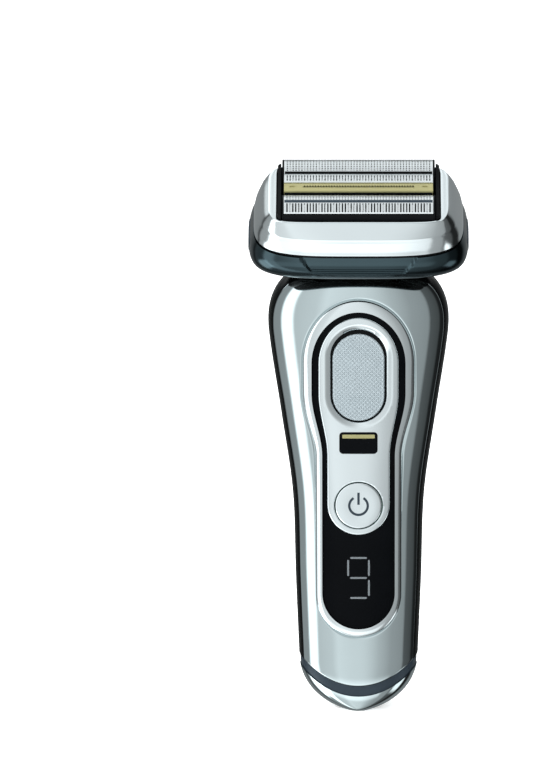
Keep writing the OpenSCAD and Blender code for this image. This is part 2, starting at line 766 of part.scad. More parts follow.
// Extrudes a profile drawn in u and w along X
module along_x(half) rotate([90, 0, 90]) translate([0, 0, -half]) linear_extrude(2 * half) children();
module arch(r, foot) {
    intersection() {
        translate([0, crown_w]) circle(r);
        translate([-r, crown_w - tiny]) square([2 * r, r + 1]);
    }
    translate([-r, foot]) square([2 * r, crown_w - foot]);
}
module foil(u) in_head() translate([0, u, 0]) along_x(foil_half_length) difference() {
    arch(foil_r, foil_skirt_w);
    arch(foil_r - foil_t, foil_skirt_w - 1);
}
module foil_holder(u) in_head() translate([0, u, 0]) {
    both_sides() translate([foil_half_length + 0.3, 0, 0]) along_x(0.3) arch(foil_r, element_foot);
    for (s = [-1, 1]) {
        inner = foil_r - foil_t;
        box([-foil_half_length, min(s * inner, s * (inner - 0.6)), element_foot],
            [foil_half_length, max(s * inner, s * (inner - 0.6)), foil_skirt_w + 0.8]);
    }
}
module front_foil() color("lightgray") foil(front_u);
module rear_foil() color("lightgray") foil(rear_u);
module front_foil_holder() color("black") foil_holder(front_u);
module rear_foil_holder() color("black") foil_holder(rear_u);

cutter_half = 20.4;
cutter_r = [2.6, 3.45];
blade_count = 20;
module cutter(u) in_head() translate([0, u, 0]) {
    pitch = 2 * (cutter_half - 0.3) / (blade_count - 1);
    for (i = [0:blade_count - 1]) translate([-cutter_half + 0.3 + i * pitch, 0, 0]) along_x(0.3) difference() {
        arch(cutter_r[1], 9.6);
        arch(cutter_r[0], 0);
    }
    difference() {
        union() {
            box([-cutter_half, -cutter_r[0] - 0.4, 9.6], [cutter_half, -cutter_r[0], 10.6]);
            box([-cutter_half, cutter_r[0], 9.6], [cutter_half, cutter_r[0] + 0.4, 10.6]);
            box([-3, -cutter_r[0], 8.8], [3, cutter_r[0], 10.6]);
        }
        bar_z([0, 0, 0], post_r + slip, 20);
    }
}
module front_cutter() color("silver") cutter(front_u);
module rear_cutter() color("silver") cutter(rear_u);

// Channel-shaped guard over a centre trimmer
guard_half_u = 2;
guard_t = 0.4;
module guard(u, top) in_head() translate([0, u, 0]) difference() {
    box([-foil_half_length, -guard_half_u, element_foot + 1], [foil_half_length, guard_half_u, top]);
    box([-foil_half_length + 0.8, -guard_half_u + guard_t, 0],
        [foil_half_length - 0.8, guard_half_u - guard_t, top - guard_t]);
    children();
}
gold_top = 14;
comb_top = 13.7;
module gold_guard() color("darkkhaki") guard(gold_u, gold_top) {
    box([-16.5, -0.3, 0], [16.5, 0.3, far]);
    both_sides() bar_z([19.6, 0, gold_top - 1], 0.5, 5);
}
module comb_guard() color("silver") guard(comb_u, comb_top)
    for (x = [-19:2:19]) box([x - 0.5, -1.3, 0], [x + 0.5, 1.3, far]);

module slim_blade(u, top, post_x) in_head() translate([0, u, 0]) difference() {
    box([-19.5, -1.3, 10.4], [19.5, 1.3, top - guard_t - 0.25]);
    bar_z([post_x, 0, 0], small_post_r + slip, far);
    for (x = [-18:2:18]) if (abs(x - post_x) > 1.6)
        box([x - 0.5, -1.4, 12], [x + 0.5, 1.4, far]);
}
module gold_blade() color("silver") slim_blade(gold_u, gold_top, small_post_x);
module comb_blade() color("silver") slim_blade(comb_u, comb_top, -small_post_x);

// ---- The part ------------------------------------------------------------------------------

front_cover();
rear_cover();
rear_grip();
bottom_band();
bottom_cap();
control_rim();
display_window();
control_panel();
lock_window();
lock_slider();
power_button();
display_module();
main_board();
power_switch();
battery_cell();
battery_tabs();
chassis();
pivot_pins();
pivot_bushes();
body_seal();
neck_seal();
power_socket();
socket_pins();
charge_contacts();
case_screws();
trimmer_carrier();
trimmer_button();
trimmer_comb();
trimmer_blade();
head_base();
head_deck();
lock_rack();
motor_core();
motor_coil();
motor_springs();
front_armature();
rear_armature();
release_button_left();
release_button_right();
release_springs();
head_screws();
cassette_frame();
cassette_carrier();
float_springs();
front_foil();
front_foil_holder();
rear_foil();
rear_foil_holder();
gold_guard();
gold_blade();
comb_guard();
comb_blade();
front_cutter();
rear_cutter();
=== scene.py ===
"""Looks of a cordless foil shaver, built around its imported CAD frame.

Lengths are millimetres until a mesh is made. A shape is a pair: its points and its faces.
"""

import json
import math

import bmesh
import bpy
import numpy as np
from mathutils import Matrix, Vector


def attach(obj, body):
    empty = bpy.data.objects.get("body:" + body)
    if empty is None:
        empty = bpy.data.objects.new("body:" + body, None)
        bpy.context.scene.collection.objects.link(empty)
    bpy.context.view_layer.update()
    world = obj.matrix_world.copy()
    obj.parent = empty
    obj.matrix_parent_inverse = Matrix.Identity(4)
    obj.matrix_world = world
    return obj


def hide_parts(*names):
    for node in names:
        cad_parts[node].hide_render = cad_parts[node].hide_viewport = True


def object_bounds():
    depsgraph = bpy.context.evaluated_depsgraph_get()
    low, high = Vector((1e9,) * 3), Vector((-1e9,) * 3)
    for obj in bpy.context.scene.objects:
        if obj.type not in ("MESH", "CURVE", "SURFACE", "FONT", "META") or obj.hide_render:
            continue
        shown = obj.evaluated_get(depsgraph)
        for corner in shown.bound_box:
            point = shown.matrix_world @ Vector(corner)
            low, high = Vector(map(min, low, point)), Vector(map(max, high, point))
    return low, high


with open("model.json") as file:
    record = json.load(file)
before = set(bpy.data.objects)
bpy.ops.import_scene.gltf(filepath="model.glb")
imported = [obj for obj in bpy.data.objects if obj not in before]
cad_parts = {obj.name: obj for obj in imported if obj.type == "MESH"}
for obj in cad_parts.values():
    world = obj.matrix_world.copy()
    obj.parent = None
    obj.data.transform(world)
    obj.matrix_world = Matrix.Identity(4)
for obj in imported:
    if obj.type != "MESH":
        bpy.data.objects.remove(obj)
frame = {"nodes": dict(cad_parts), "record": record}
CAD_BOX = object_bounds()
MM = 0.001
NODES = frame["nodes"]
RECORD = frame["record"]
FAR = 60

# ---- Curves shared with the CAD part ---------------------------------------------------------

FOOT_H = 16.0
FOOT_DEG = 12
FOOT_START = math.radians(FOOT_DEG)
FOOT_DEPTH = 0.6
SHOULDER_Z = 118.5
CORNER = (10.8, 4.0, 14.5)
HANDLE_TOP = SHOULDER_Z + CORNER[2]
HANDLE_POWER = 2.6
HANDLE_COLUMNS = 320
WALL = 1.8
# Height, half width, front depth, back depth
HANDLE = np.array(
    [
        [FOOT_H, 17.8, 12.0, 12.5],
        [40, 18.8, 12.4, 13.0],
        [66, 19.7, 12.8, 14.0],
        [90, 23.1, 13.8, 16.6],
        [115, 26.8, 15.0, 17.2],
        [124, 26.8, 15.2, 17.2],
    ]
)


def cols(*parts):
    """Points from their coordinates: arrays of one shape, or single numbers."""
    return np.stack(np.broadcast_arrays(*parts), -1)


def arc(start, end, count):
    return np.radians(np.linspace(start, end, count))


def along(table, at, column):
    """Smooth curve through one column of a table whose first column rises."""
    last = len(table) - 1
    i = np.clip(np.searchsorted(table[:, 0], at, side="right") - 1, 0, last - 1)

    def rise(k):
        low, high = np.maximum(k - 1, 0), np.minimum(k + 1, last)
        return (table[high, column] - table[low, column]) / (table[high, 0] - table[low, 0])

    step = table[i + 1, 0] - table[i, 0]
    s = (at - table[i, 0]) / step
    line = table[i, column] + (table[i + 1, column] - table[i, column]) * s * s * (3 - 2 * s)
    return line + step * s * (1 - s) * ((1 - s) * rise(i) - s * rise(i + 1))


def ease(t):
    t = np.clip(t, 0, 1)
    return t * t * (3 - 2 * t)


def handle_ring(z, grow=0.0):
    """Half width, front depth and back depth of the handle at height z, grown by grow."""
    z = np.asarray(z, float)
    side = np.clip(z, FOOT_H, SHOULDER_Z)
    full = [along(HANDLE, side, c) for c in (1, 2, 3)]
    cos_foot = np.clip((FOOT_H - z) * math.cos(FOOT_START) / (FOOT_H + grow), 0, 1)
    sin_foot = np.sqrt(1 - cos_foot**2)
    depth = FOOT_DEPTH + (1 - FOOT_DEPTH) * sin_foot
    sin_top = np.clip((z - SHOULDER_Z) / (CORNER[2] + grow), 0, 1)
    cos_top = np.sqrt(1 - sin_top**2)
    rings = []
    for value, share, corner in zip(full, (sin_foot, depth, depth), CORNER[:1] + CORNER[1:2] * 2):
        above = value - corner + (corner + grow) * cos_top
        rings.append(np.where(z < FOOT_H, (value + grow) * share, above))
    return rings


def handle_heights(grow=0.0, counts=(22, 90, 18)):
    """Heights of the handle's sections in its foot, side and top corner."""
    foot = FOOT_H - (FOOT_H + grow) * np.cos(arc(FOOT_DEG, 90, counts[0])) / math.cos(FOOT_START)
    side = np.linspace(FOOT_H, SHOULDER_Z, counts[1])
    top = SHOULDER_Z + (CORNER[2] + grow) * np.sin(arc(0, 90, counts[2]))
    return np.concatenate([foot, side[1:], top[1:]])


def handle_y(x, z, grow=0.0, behind=False):
    """Y of the handle's surface in front of, or behind, the point x, z."""
    half, front, back = handle_ring(z, grow)
    inside = np.clip(1 - np.abs(x / half) ** HANDLE_POWER, 0, 1)
    return (back if behind else -front) * inside ** (1 / HANDLE_POWER)


def on_handle(outline, grow=0.0, behind=False):
    """Points x, z lifted onto the handle's front or back, grown by grow."""
    x, z = outline[..., 0], outline[..., 1]
    return cols(x, handle_y(x, z, grow, behind), z)


def travelled(points):
    """Distance along a line at each of its points."""
    return np.concatenate([[0], np.cumsum(np.linalg.norm(np.diff(points, axis=0), axis=1))])


def points_at(points, run, at):
    return cols(*(np.interp(at, run, column) for column in points.T))


def resample(points, count, closed=False):
    """The same line with count points, evenly spaced along it."""
    if closed:
        points = np.vstack([points, points[:1]])
    run = travelled(points)
    out = points_at(points, run, np.linspace(0, run[-1], count + int(closed)))
    return out[:-1] if closed else out


def clean_loop(outline, count):
    """Closed outline without doubled points, evenly spaced."""
    keep = np.linalg.norm(np.roll(outline, -1, 0) - outline, axis=1) > 1e-6
    return resample(outline[keep], count, closed=True)


def mirrored(right):
    """Closed loop from the half on the right, whose first and last points lie on the centre line."""
    return np.vstack([right, right[-2:0:-1] * [-1, 1]])


def section(half, front, back, power, count):
    """Rounded box section as x, y, evenly spaced, from the middle of the front round to the right."""
    a = np.linspace(0, math.pi / 2, 400)
    bow_sin, bow_cos = np.sin(a) ** (2 / power), np.cos(a) ** (2 / power)
    right_back = cols(half * bow_cos, back * bow_sin)
    right = np.vstack([cols(half * bow_sin, -front * bow_cos), right_back[1:]])
    return mirrored(resample(right, count // 2 + 1))


def circle(radius, centre=(0, 0), count=64):
    a = np.linspace(0, 2 * math.pi, count, endpoint=False)
    return cols(centre[0] + radius * np.sin(a), centre[1] - radius * np.cos(a))


def pill(radius, half_gap, z, count=64):
    """Upright slot outline with round ends, from its top round to the left."""
    a = np.linspace(0, math.pi, count + 1)
    top = cols(radius * np.cos(a), z + half_gap + radius * np.sin(a))
    bottom = cols(-radius * np.cos(a), z - half_gap - radius * np.sin(a))
    return np.roll(np.vstack([top, bottom]), -count // 2, axis=0)


def rounded_rectangle(half_x, half_y, radius, centre=(0, 0), count=10):
    parts = []
    for right, up, start in ((1, -1, -90), (1, 1, 0), (-1, 1, 90), (-1, -1, 180)):
        a = arc(start, start + 90, count + 1)
        x, y = centre[0] + right * (half_x - radius), centre[1] + up * (half_y - radius)
        parts.append(cols(x + radius * np.cos(a), y + radius * np.sin(a)))
    return np.vstack(parts)


# ---- Meshes ------------------------------------------------------------------------------------


def grid_faces(rows, columns, close_rows=False, flip=False):
    """Quads of a grid whose columns close on themselves."""
    i, j = np.meshgrid(np.arange(rows if close_rows else rows - 1), np.arange(columns), indexing="ij")
    k, m = (j + 1) % columns, (i + 1) % rows
    corners = [i * columns + j, i * columns + k, m * columns + k, m * columns + j]
    if flip:
        corners.reverse()
    return np.stack(corners, -1).reshape(-1, 4).tolist()


def grid_shape(grid, close_rows=False):
    """Shape of a grid of rings."""
    grid = np.asarray(grid)
    return grid.reshape(-1, 3), grid_faces(*grid.shape[:2], close_rows)


def loft(rings, flip=False):
    """Closed shape through rings of points, with flat ends."""
    rows, columns = len(rings), len(rings[0])
    low = list(range(columns))
    high = [(rows - 1) * columns + k for k in low]
    ends = [low[::-1], high] if flip else [low, high[::-1]]
    return np.concatenate(rings), grid_faces(rows, columns, flip=not flip) + ends


def joined(*shapes):
    """Several shapes as one."""
    faces, count = [], 0
    for points, sides in shapes:
        faces += [[k + count for k in face] for face in sides]
        count += len(points)
    return np.vstack([points for points, _ in shapes]), faces


def thickened(grid, depth):
    """Closed shape from an open grid of rings and the same grid moved along its normals by depth."""
    normal = np.cross(np.roll(grid, -1, 1) - np.roll(grid, 1, 1), np.gradient(grid, axis=0))
    normal /= np.maximum(np.linalg.norm(normal, axis=-1, keepdims=True), 1e-9)
    return grid_shape(np.concatenate([grid, (grid + normal * depth)[::-1]]), close_rows=True)


def link(name, data):
    item = bpy.data.objects.new(name, data)
    bpy.context.scene.collection.objects.link(item)
    return item


def blank(shape, merge=False):
    """Undressed solid from a shape in millimetres, with its faces turned outward."""
    points, faces = shape
    mesh = bpy.data.meshes.new("solid")
    mesh.from_pydata((np.asarray(points) * MM).tolist(), [], faces)
    work = bmesh.new()
    work.from_mesh(mesh)
    if merge:
        bmesh.ops.remove_doubles(work, verts=work.verts, dist=1e-6)
        bmesh.ops.dissolve_degenerate(work, edges=work.edges, dist=1e-7)
        bmesh.ops.recalc_face_normals(work, faces=work.faces)
    if work.calc_volume(signed=True) < 0:
        bmesh.ops.reverse_faces(work, faces=work.faces)
    work.to_mesh(mesh)
    work.free()
    mesh.update()
    return link("solid", mesh)


def dress(piece, name, body, slot, replaces=(), sharp=35):
    """Name, shading, material (picked by slot) and body of a piece."""
    piece.name = name
    mesh = piece.data
    mesh.polygons.foreach_set("use_smooth", np.ones(len(mesh.polygons), bool))
    mesh.set_sharp_from_angle(angle=math.radians(sharp))
    mesh.update()
    mesh.materials.clear()
    mesh.materials.append(MATERIALS[slot])
    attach(piece, body)
    if replaces:
        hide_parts(*replaces)


def make(shape, name, body, slot, replaces=(), sharp=35):
    """One visible piece from a shape."""
    dress(blank(shape, merge=True), name, body, slot, replaces, sharp)


def carve(piece, cutter, operation="DIFFERENCE"):
    """Applies a boolean to a piece and removes the cutter."""
    modifier = piece.modifiers.new("carve", "BOOLEAN")
    modifier.operation = operation
    modifier.solver = "MANIFOLD"
    modifier.object = cutter
    graph = bpy.context.evaluated_depsgraph_get()
    mesh = bpy.data.meshes.new_from_object(piece.evaluated_get(graph))
    piece.modifiers.clear()
    piece.data = mesh
    bpy.data.objects.remove(cutter)


def box(x, y, z):
    """Solid box from its three pairs of limits."""
    (a, d), (b, e), (c, f) = sorted(x), sorted(y), sorted(z)
    points = [(a, b, c), (d, b, c), (d, e, c), (a, e, c), (a, b, f), (d, b, f), (d, e, f), (a, e, f)]
    faces = [(3, 2, 1, 0), (4, 5, 6, 7), (0, 1, 5, 4), (1, 2, 6, 5), (2, 3, 7, 6), (3, 0, 4, 7)]
    return blank((points, faces))


def slab(half, y, z):
    return box((-half, half), y, z)


def prism(outline, low, high, axis="y"):
    """Solid from a closed outline in the other two axes, pushed along one axis."""
    place = "xyz".index(axis)
    outline = np.asarray(outline, float)
    return blank(loft([np.insert(outline, place, v, axis=1) for v in sorted((low, high))]), merge=True)


# ---- Materials ---------------------------------------------------------------------------------


class Nodes:
    """Small helper for writing a node tree."""

    def __init__(self, tree):
        self.tree = tree
        tree.nodes.clear()

    def add(self, kind, inputs=None, **settings):
        node = self.tree.nodes.new(kind)
        for key, value in settings.items():
            setattr(node, key, value)
        for key, value in (inputs or {}).items():
            if isinstance(value, bpy.types.NodeSocket):
                self.tree.links.new(value, node.inputs[key])
            else:
                node.inputs[key].default_value = value
        return node

    def math(self, operation, a, b=0.0):
        return self.add("ShaderNodeMath", {0: a, 1: b}, operation=operation).outputs[0]

    def times(self, value, *others):
        for other in others:
            value = self.math("MULTIPLY", value, other)
        return value

    def noise(self, place, scale, **inputs):
        inputs = {"Vector": place, "Scale": scale, **inputs}
        return self.add("ShaderNodeTexNoise", inputs).outputs["Fac"]

    def mix(self, share, one, two, **settings):
        return self.add("ShaderNodeMix", {0: share, 6: one, 7: two}, data_type="RGBA", **settings).outputs[2]

    def wave(self, place, pitch):
        """Height of upright waves, 0 to 1, which touch 0 once in each pitch."""
        return self.math("ABSOLUTE", self.math("SINE", self.times(place, math.pi / (pitch * MM))))

    def ramp(self, value, stops):
        node = self.add("ShaderNodeValToRGB", {"Fac": value})
        band = node.color_ramp.elements
        while len(band) < len(stops):
            band.new(0.5)
        for element, (place, tone) in zip(band, stops):
            element.position = place
            element.color = (*tone, 1)
        return node.outputs["Color"]

    def span(self, value, low, high, to_low=0.0, to_high=1.0, smooth=False):
        kind = "SMOOTHSTEP" if smooth else "LINEAR"
        inputs = {"Value": value, "From Min": low, "From Max": high, "To Min": to_low, "To Max": to_high}
        return self.add("ShaderNodeMapRange", inputs, interpolation_type=kind, clamp=True).outputs["Result"]


MATERIALS = {}


def surface(
    name, colour, metallic, rough, grain, bump, vary,
    stretch=(1, 1, 1), coat=0.0, specular=0.5, ior=1.5, extra=None,
):
    """Procedural material: mottled colour, uneven gloss and a fine grain, all in object space."""
    material = bpy.data.materials.new(name)
    material.use_nodes = True
    n = Nodes(material.node_tree)
    place = n.add("ShaderNodeTexCoord").outputs["Object"]
    scaled = n.add("ShaderNodeMapping", {"Vector": place, "Scale": stretch}).outputs["Vector"]
    fine = n.noise(scaled, grain, Detail=3.0, Roughness=0.6)
    broad = n.noise(place, 60.0, Detail=2.0)
    dull, bright = (tuple(min(c * factor, 1.0) for c in colour) for factor in (1 - vary, 1 + vary))
    tone, height = n.ramp(broad, [(0.3, dull), (0.7, bright)]), fine
    if extra is not None:
        tone, height = extra(n, place, tone, fine)
    mottle = n.math("ADD", n.times(fine, 0.5), n.times(broad, 0.5))
    bumps = {"Height": height, "Strength": bump, "Distance": 0.0001}
    relief = n.add("ShaderNodeBump", bumps).outputs["Normal"]
    inputs = {
        "Base Color": tone,
        "Metallic": metallic,
        "Roughness": n.span(mottle, 0.35, 0.65, *rough),
        "Normal": relief,
        "Coat Weight": coat,
        "Coat Roughness": 0.05,
        "Specular IOR Level": specular,
        "IOR": ior,
    }
    shader = n.add("ShaderNodeBsdfPrincipled", inputs)
    n.add("ShaderNodeOutputMaterial", {"Surface": shader.outputs[0]})
    MATERIALS[name] = material


def lines(axis, pitch, depth):
    """Extra detail: fine parallel lines across one axis, such as windings or laminations."""

    def detail(n, place, tone, fine):
        along_axis = n.add("ShaderNodeSeparateXYZ", {0: place}).outputs[axis]
        cut = n.span(n.wave(along_axis, pitch), 0.0, 0.5)
        dark = n.mix(n.times(n.math("SUBTRACT", 1.0, cut), depth), tone, (0, 0, 0, 1))
        return dark, n.math("ADD", cut, n.times(fine, 0.2))

    return detail


def circuit(n, place, tone, fine):
    """Extra detail: copper tracks under green lacquer."""
    flat = n.add("ShaderNodeMapping", {"Vector": place, "Rotation": (math.pi / 2, 0, 0)}).outputs["Vector"]
    black, white = (0, 0, 0, 1), (1, 1, 1, 1)
    inputs = {"Vector": flat, "Scale": 420.0, "Mortar Size": 0.08}
    inputs |= {"Color1": black, "Color2": black, "Mortar": white}
    tracks = n.add("ShaderNodeTexBrick", inputs, offset=0.37).outputs["Color"]
    return n.mix(tracks, tone, (0.12, 0.42, 0.2, 1)), tracks


ENGRAVING = 0.9


def engraved(n, place, tone, fine):
    """Extra detail: dark diagonal lines in both directions, seen from the front."""
    axes = n.add("ShaderNodeSeparateXYZ", {0: place}).outputs
    cuts = []
    for way in (1.0, -1.0):
        across = n.math("ADD", n.times(axes[0], way), axes[2])
        cuts.append(n.span(n.wave(across, ENGRAVING * math.sqrt(2)), 0.1, 0.45, 1.0, 0.0))
    return n.mix(n.times(n.math("MAXIMUM", *cuts), 0.6), tone, (0.09, 0.12, 0.13, 1)), fine


# Name, colour, metallic, roughness range, grain, bump, variation, stretch of the grain
surface("chrome_shell", (0.54, 0.615, 0.63), 1.0, (0.05, 0.1), 700, 0.02, 0.02, (1, 1, 0.08))
# Head base: a silver given a near-black colour, painted shade and dark reflection on a chrome part
surface("satin_silver", (0.043, 0.066, 0.075), 1.0, (0.13, 0.2), 2200, 0.02, 0.03)
surface("pearl_silver", (0.70, 0.75, 0.765), 1.0, (0.1, 0.16), 2200, 0.03, 0.02)
surface("dark_shell", (0.0015, 0.002, 0.002), 0.0, (0.2, 0.3), 1500, 0.04, 0.2, ior=1.12)
surface("soft_rubber", (0.018, 0.019, 0.021), 0.0, (0.6, 0.75), 3000, 0.5, 0.15, specular=0.3)
surface("slate_band", (0.02, 0.03, 0.04), 0.3, (0.3, 0.4), 2000, 0.1, 0.08, ior=1.3)
surface("clear_black", (0.0012, 0.0015, 0.002), 0.0, (0.03, 0.06), 300, 0.01, 0.2, ior=1.12)
surface("blue_grey_pad", (0.25, 0.29, 0.31), 0.0, (0.4, 0.5), 3000, 0.1, 0.04, extra=engraved)
surface("black_plastic", (0.003, 0.0035, 0.004), 0.0, (0.35, 0.5), 2600, 0.2, 0.2, ior=1.12)
surface("grey_plastic", (0.10, 0.115, 0.125), 0.0, (0.4, 0.55), 2600, 0.3, 0.1)
surface("bare_steel", (0.62, 0.63, 0.64), 1.0, (0.2, 0.34), 1600, 0.12, 0.05, (0.1, 1, 1))
surface("foil_steel", (0.74, 0.77, 0.78), 1.0, (0.2, 0.3), 2600, 0.06, 0.05, (1, 0.15, 1))
surface("gold_coating", (0.37, 0.345, 0.17), 0.8, (0.28, 0.4), 1800, 0.1, 0.08, (0.1, 1, 1))
surface("contact_brass", (0.72, 0.52, 0.2), 1.0, (0.16, 0.3), 1500, 0.1, 0.06)
surface("circuit_board", (0.01, 0.10, 0.045), 0.0, (0.25, 0.4), 1500, 0.4, 0.1, extra=circuit)
surface("cell_sleeve", (0.02, 0.07, 0.22), 0.0, (0.2, 0.3), 900, 0.15, 0.12, coat=0.3)
surface("coil_copper", (0.55, 0.2, 0.07), 0.9, (0.25, 0.35), 1500, 0.6, 0.1, extra=lines(2, 0.35, 0.7))
surface("iron_core", (0.16, 0.16, 0.17), 0.8, (0.35, 0.5), 1500, 0.5, 0.1, extra=lines(1, 0.4, 0.6))

# ---- Handle ------------------------------------------------------------------------------------

SMILE_RISE, SMILE_AT, SMILE_Z, BAND_H = 8.2, 17.3, 8.2, 3.3
DARK_RIM = 1.4
ARCH_Z = 106.5
WAIST = (78.5, 97.5)
LOWER_STEPS, STRAIGHT_STEPS, WAIST_STEPS, UPPER_STEPS, ARCH_STEPS = 36, 30, 44, 14, 64
# Upper half width, top, lower half width and bottom of each control layer
RIM = (16.6, 125.8, 12.8, 23.5)
WINDOW = (13.8, 122.1, 10.7, 26.1)
PANEL = (12.0, 120.7, 9.4, 54.6)


def smile(x, base=SMILE_Z):
    return base + SMILE_RISE * (x / SMILE_AT) ** 2


def field_right(upper, top, lower, bottom):
    """Right half of a control layer's outline, from its bottom centre to its top centre."""
    low, high = arc(-90, 0, LOWER_STEPS + 1)[:-1], arc(0, 90, ARCH_STEPS + 1)
    t = np.linspace(0, 1, WAIST_STEPS, endpoint=False)
    parts = [
        cols(lower * np.cos(low), bottom + lower + lower * np.sin(low)),
        cols(lower, np.linspace(bottom + lower, WAIST[0], STRAIGHT_STEPS, endpoint=False)),
        cols(lower + (upper - lower) * ease(t), WAIST[0] + (WAIST[1] - WAIST[0]) * t),
        cols(upper, np.linspace(WAIST[1], ARCH_Z, UPPER_STEPS, endpoint=False)),
        cols(upper * np.cos(high), ARCH_Z + (top - ARCH_Z) * np.sin(high)),
    ]
    right = np.vstack(parts)
    right[0, 0] = right[-1, 0] = 0
    return right


def field_loop(sizes, inset=0):
    """Outline of a control layer, drawn in by inset."""
    upper, top, lower, bottom = sizes
    return mirrored(field_right(upper - inset, top - inset, lower - inset, bottom + inset))


def front_right(inset):
    """Right half of the front cover's outline in three runs: along the smile, up the side, over the top."""
    z = handle_heights(counts=(60, 240, 60))
    edge = cols(handle_ring(z)[0], z)
    ahead = np.gradient(edge, axis=0)
    ahead /= np.linalg.norm(ahead, axis=1, keepdims=True)
    moved = edge + cols(-ahead[:, 1], ahead[:, 0]) * inset
    side = moved[np.argmax(moved[:, 1] > smile(moved[:, 0])) :]
    x = np.linspace(0, side[0, 0], 200)
    side[0, 1] = smile(side[0, 0])
    split = np.argmax(side[:, 1] > SHOULDER_Z - 4)
    over = np.vstack([side[split:], [[0, side[-1, 1]]]])
    return cols(x, smile(x)), side[: split + 1], over


def like(run, model):
    """Points along run, spaced as the points of model are."""
    share, dist = travelled(model), travelled(run)
    return points_at(run, dist, share / share[-1] * dist[-1])


def front_loop(inset):
    """Outline of the front cover, with each point opposite one of the rim's."""
    inner = field_right(*RIM)
    a, b = LOWER_STEPS, LOWER_STEPS + STRAIGHT_STEPS + WAIST_STEPS + UPPER_STEPS
    models = (inner[: a + 1], inner[a : b + 1], inner[b:])
    base, side, over = (like(run, model) for run, model in zip(front_right(inset), models))
    return mirrored(np.vstack([base[:-1], side[:-1], over]))


def between(inner, outer, near, middle, far):
    """Rows of loops from inner to outer: near and far are distances in mm from each edge."""
    length = np.linalg.norm(outer - inner, axis=1)[:, None]
    shares = [d / length for d in near]
    first, last = near[-1] / length, 1 - far[0] / length
    shares += [first + (last - first) * k / (middle + 1) for k in range(1, middle + 1)]
    shares += [1 - d / length for d in far]
    rows = np.array([inner + (outer - inner) * s for s in shares])
    gaps = np.array([s[:, 0] * length[:, 0] for s in shares])
    return rows, gaps, length[:, 0] - gaps


def rolled(distance, radius):
    """Drop of a rounded edge at a distance from it."""
    d = np.clip(radius - distance, 0, radius)
    return np.sqrt(radius**2 - d**2) - radius


def add_front_shell():
    near = [0, 0.25, 0.5, 0.7, 0.9, 1.1, 1.3, 1.6]
    far = [0.8, 0.5, 0.35, 0.22, 0.12, 0.05, 0.0]
    loops = field_loop(RIM, 0.5), front_loop(DARK_RIM + 0.03)
    rows, from_rim, from_edge = between(*loops, near, 22, far)
    grow = -0.4 * (1 - ease((from_rim - 0.5) / 0.9)) + rolled(from_edge, 0.35)
    shell = thickened(on_handle(rows, grow), 1.3)
    make(shell, "front_shell", "handle", "chrome_shell", ["front_cover"], 50)


def handle_rings(grow):
    rings = []
    for z in handle_heights(grow):
        flat = section(*handle_ring(z, grow), HANDLE_POWER, HANDLE_COLUMNS)
        rings.append(cols(*flat.T, z))
    return rings


def handle_block(grow):
    return blank(loft(handle_rings(grow)))


def handle_skin(outer):
    """Hollow handle from the inside of its wall to an outer growth."""
    return blank(joined(loft(handle_rings(outer)), loft(handle_rings(-WALL), flip=True)))


def below_smile(base, reach=40.0):
    """Solid under the curved seam through base."""
    x = np.linspace(reach, -reach, 161)
    return prism(np.vstack([cols(x, smile(x, base)), [[-reach, -90.0], [reach, -90.0]]]), -FAR, FAR)


# Half width, front and bottom of the long-hair trimmer's bay
BAY, BAY_WALL = (15.5, 13.0, 88.0), 1.2
TILT = math.radians(27)
HEAD_Y, HEAD_Z, PIVOT_DROP = -8.25, 148.8, 4.0
PIVOT = (HEAD_Y + PIVOT_DROP * math.sin(TILT), HEAD_Z - PIVOT_DROP * math.cos(TILT))
SADDLE_R = 13.7
EAR_X, EAR_HALF = (10.6, 13.4), 3.2
LATCH_HALF, GAP = 2.3, 0.3
NECK_Z = (120, 140)
GRIP_R, GRIP_GAP, GRIP_Z, GRIP_LOW, GRIP_HIGH, RIB_H = 11.5, 18, 53, -0.7, 0.5, 0.35


def around_pivot(half):
    return PIVOT[0] - half, PIVOT[0] + half


def add_rear_shell():
    shell = handle_skin(0.0)
    lining = handle_block(-0.01)
    half, floor, low = BAY
    wall = slab(half + BAY_WALL, (floor - BAY_WALL, 40), (low - BAY_WALL, HANDLE_TOP - 0.02))
    carve(lining, wall, "INTERSECT")
    carve(shell, lining, "UNION")
    front = prism(front_loop(DARK_RIM), -FAR, -6)
    carve(front, slab(FAR, (-11, FAR), (HANDLE_TOP - 2.6, 200)))
    carve(shell, front)
    carve(shell, below_smile(SMILE_Z))
    carve(shell, slab(half, (floor, FAR), (low, 200)))
    carve(shell, prism(circle(SADDLE_R, PIVOT, 160), -FAR, FAR, "x"))
    for side in (-1, 1):
        ear = (side * (EAR_X[0] - GAP), side * (EAR_X[1] + GAP))
        carve(shell, box(ear, around_pivot(EAR_HALF + GAP), NECK_Z))
        for z in (25, 82):
            carve(shell, prism(circle(1.9, (side * 12.2, z)), 9.2, FAR))
        carve(shell, prism(circle(1.6, (side * 5, 21)), 5, FAR))
    carve(shell, slab(LATCH_HALF + GAP, around_pivot(1.5), NECK_Z))
    shares = np.concatenate([np.linspace(0, 0.9, 16), [0.93, 0.96, 0.98, 0.99, 1.0]])
    carve(shell, blank(back_plate(GRIP_R, 200, shares, GRIP_LOW, lambda z: 4.0), merge=True))
    dress(shell, "rear_shell", "handle", "dark_shell", ["rear_cover"], 40)


def back_plate(radius, count, shares, low, high):
    """Shape on the back of the handle, from growth low to the growth that high gives for each height."""
    outline = resample(pill(radius, GRIP_GAP, GRIP_Z), count, closed=True)
    middle = field_middle(outline, GRIP_Z - GRIP_GAP, GRIP_Z + GRIP_GAP)
    rows = np.array([middle + (outline - middle) * s for s in shares])
    top = on_handle(rows, high(rows[..., 1]), behind=True)
    return grid_shape(np.concatenate([on_handle(rows, low, behind=True), top[::-1]]))


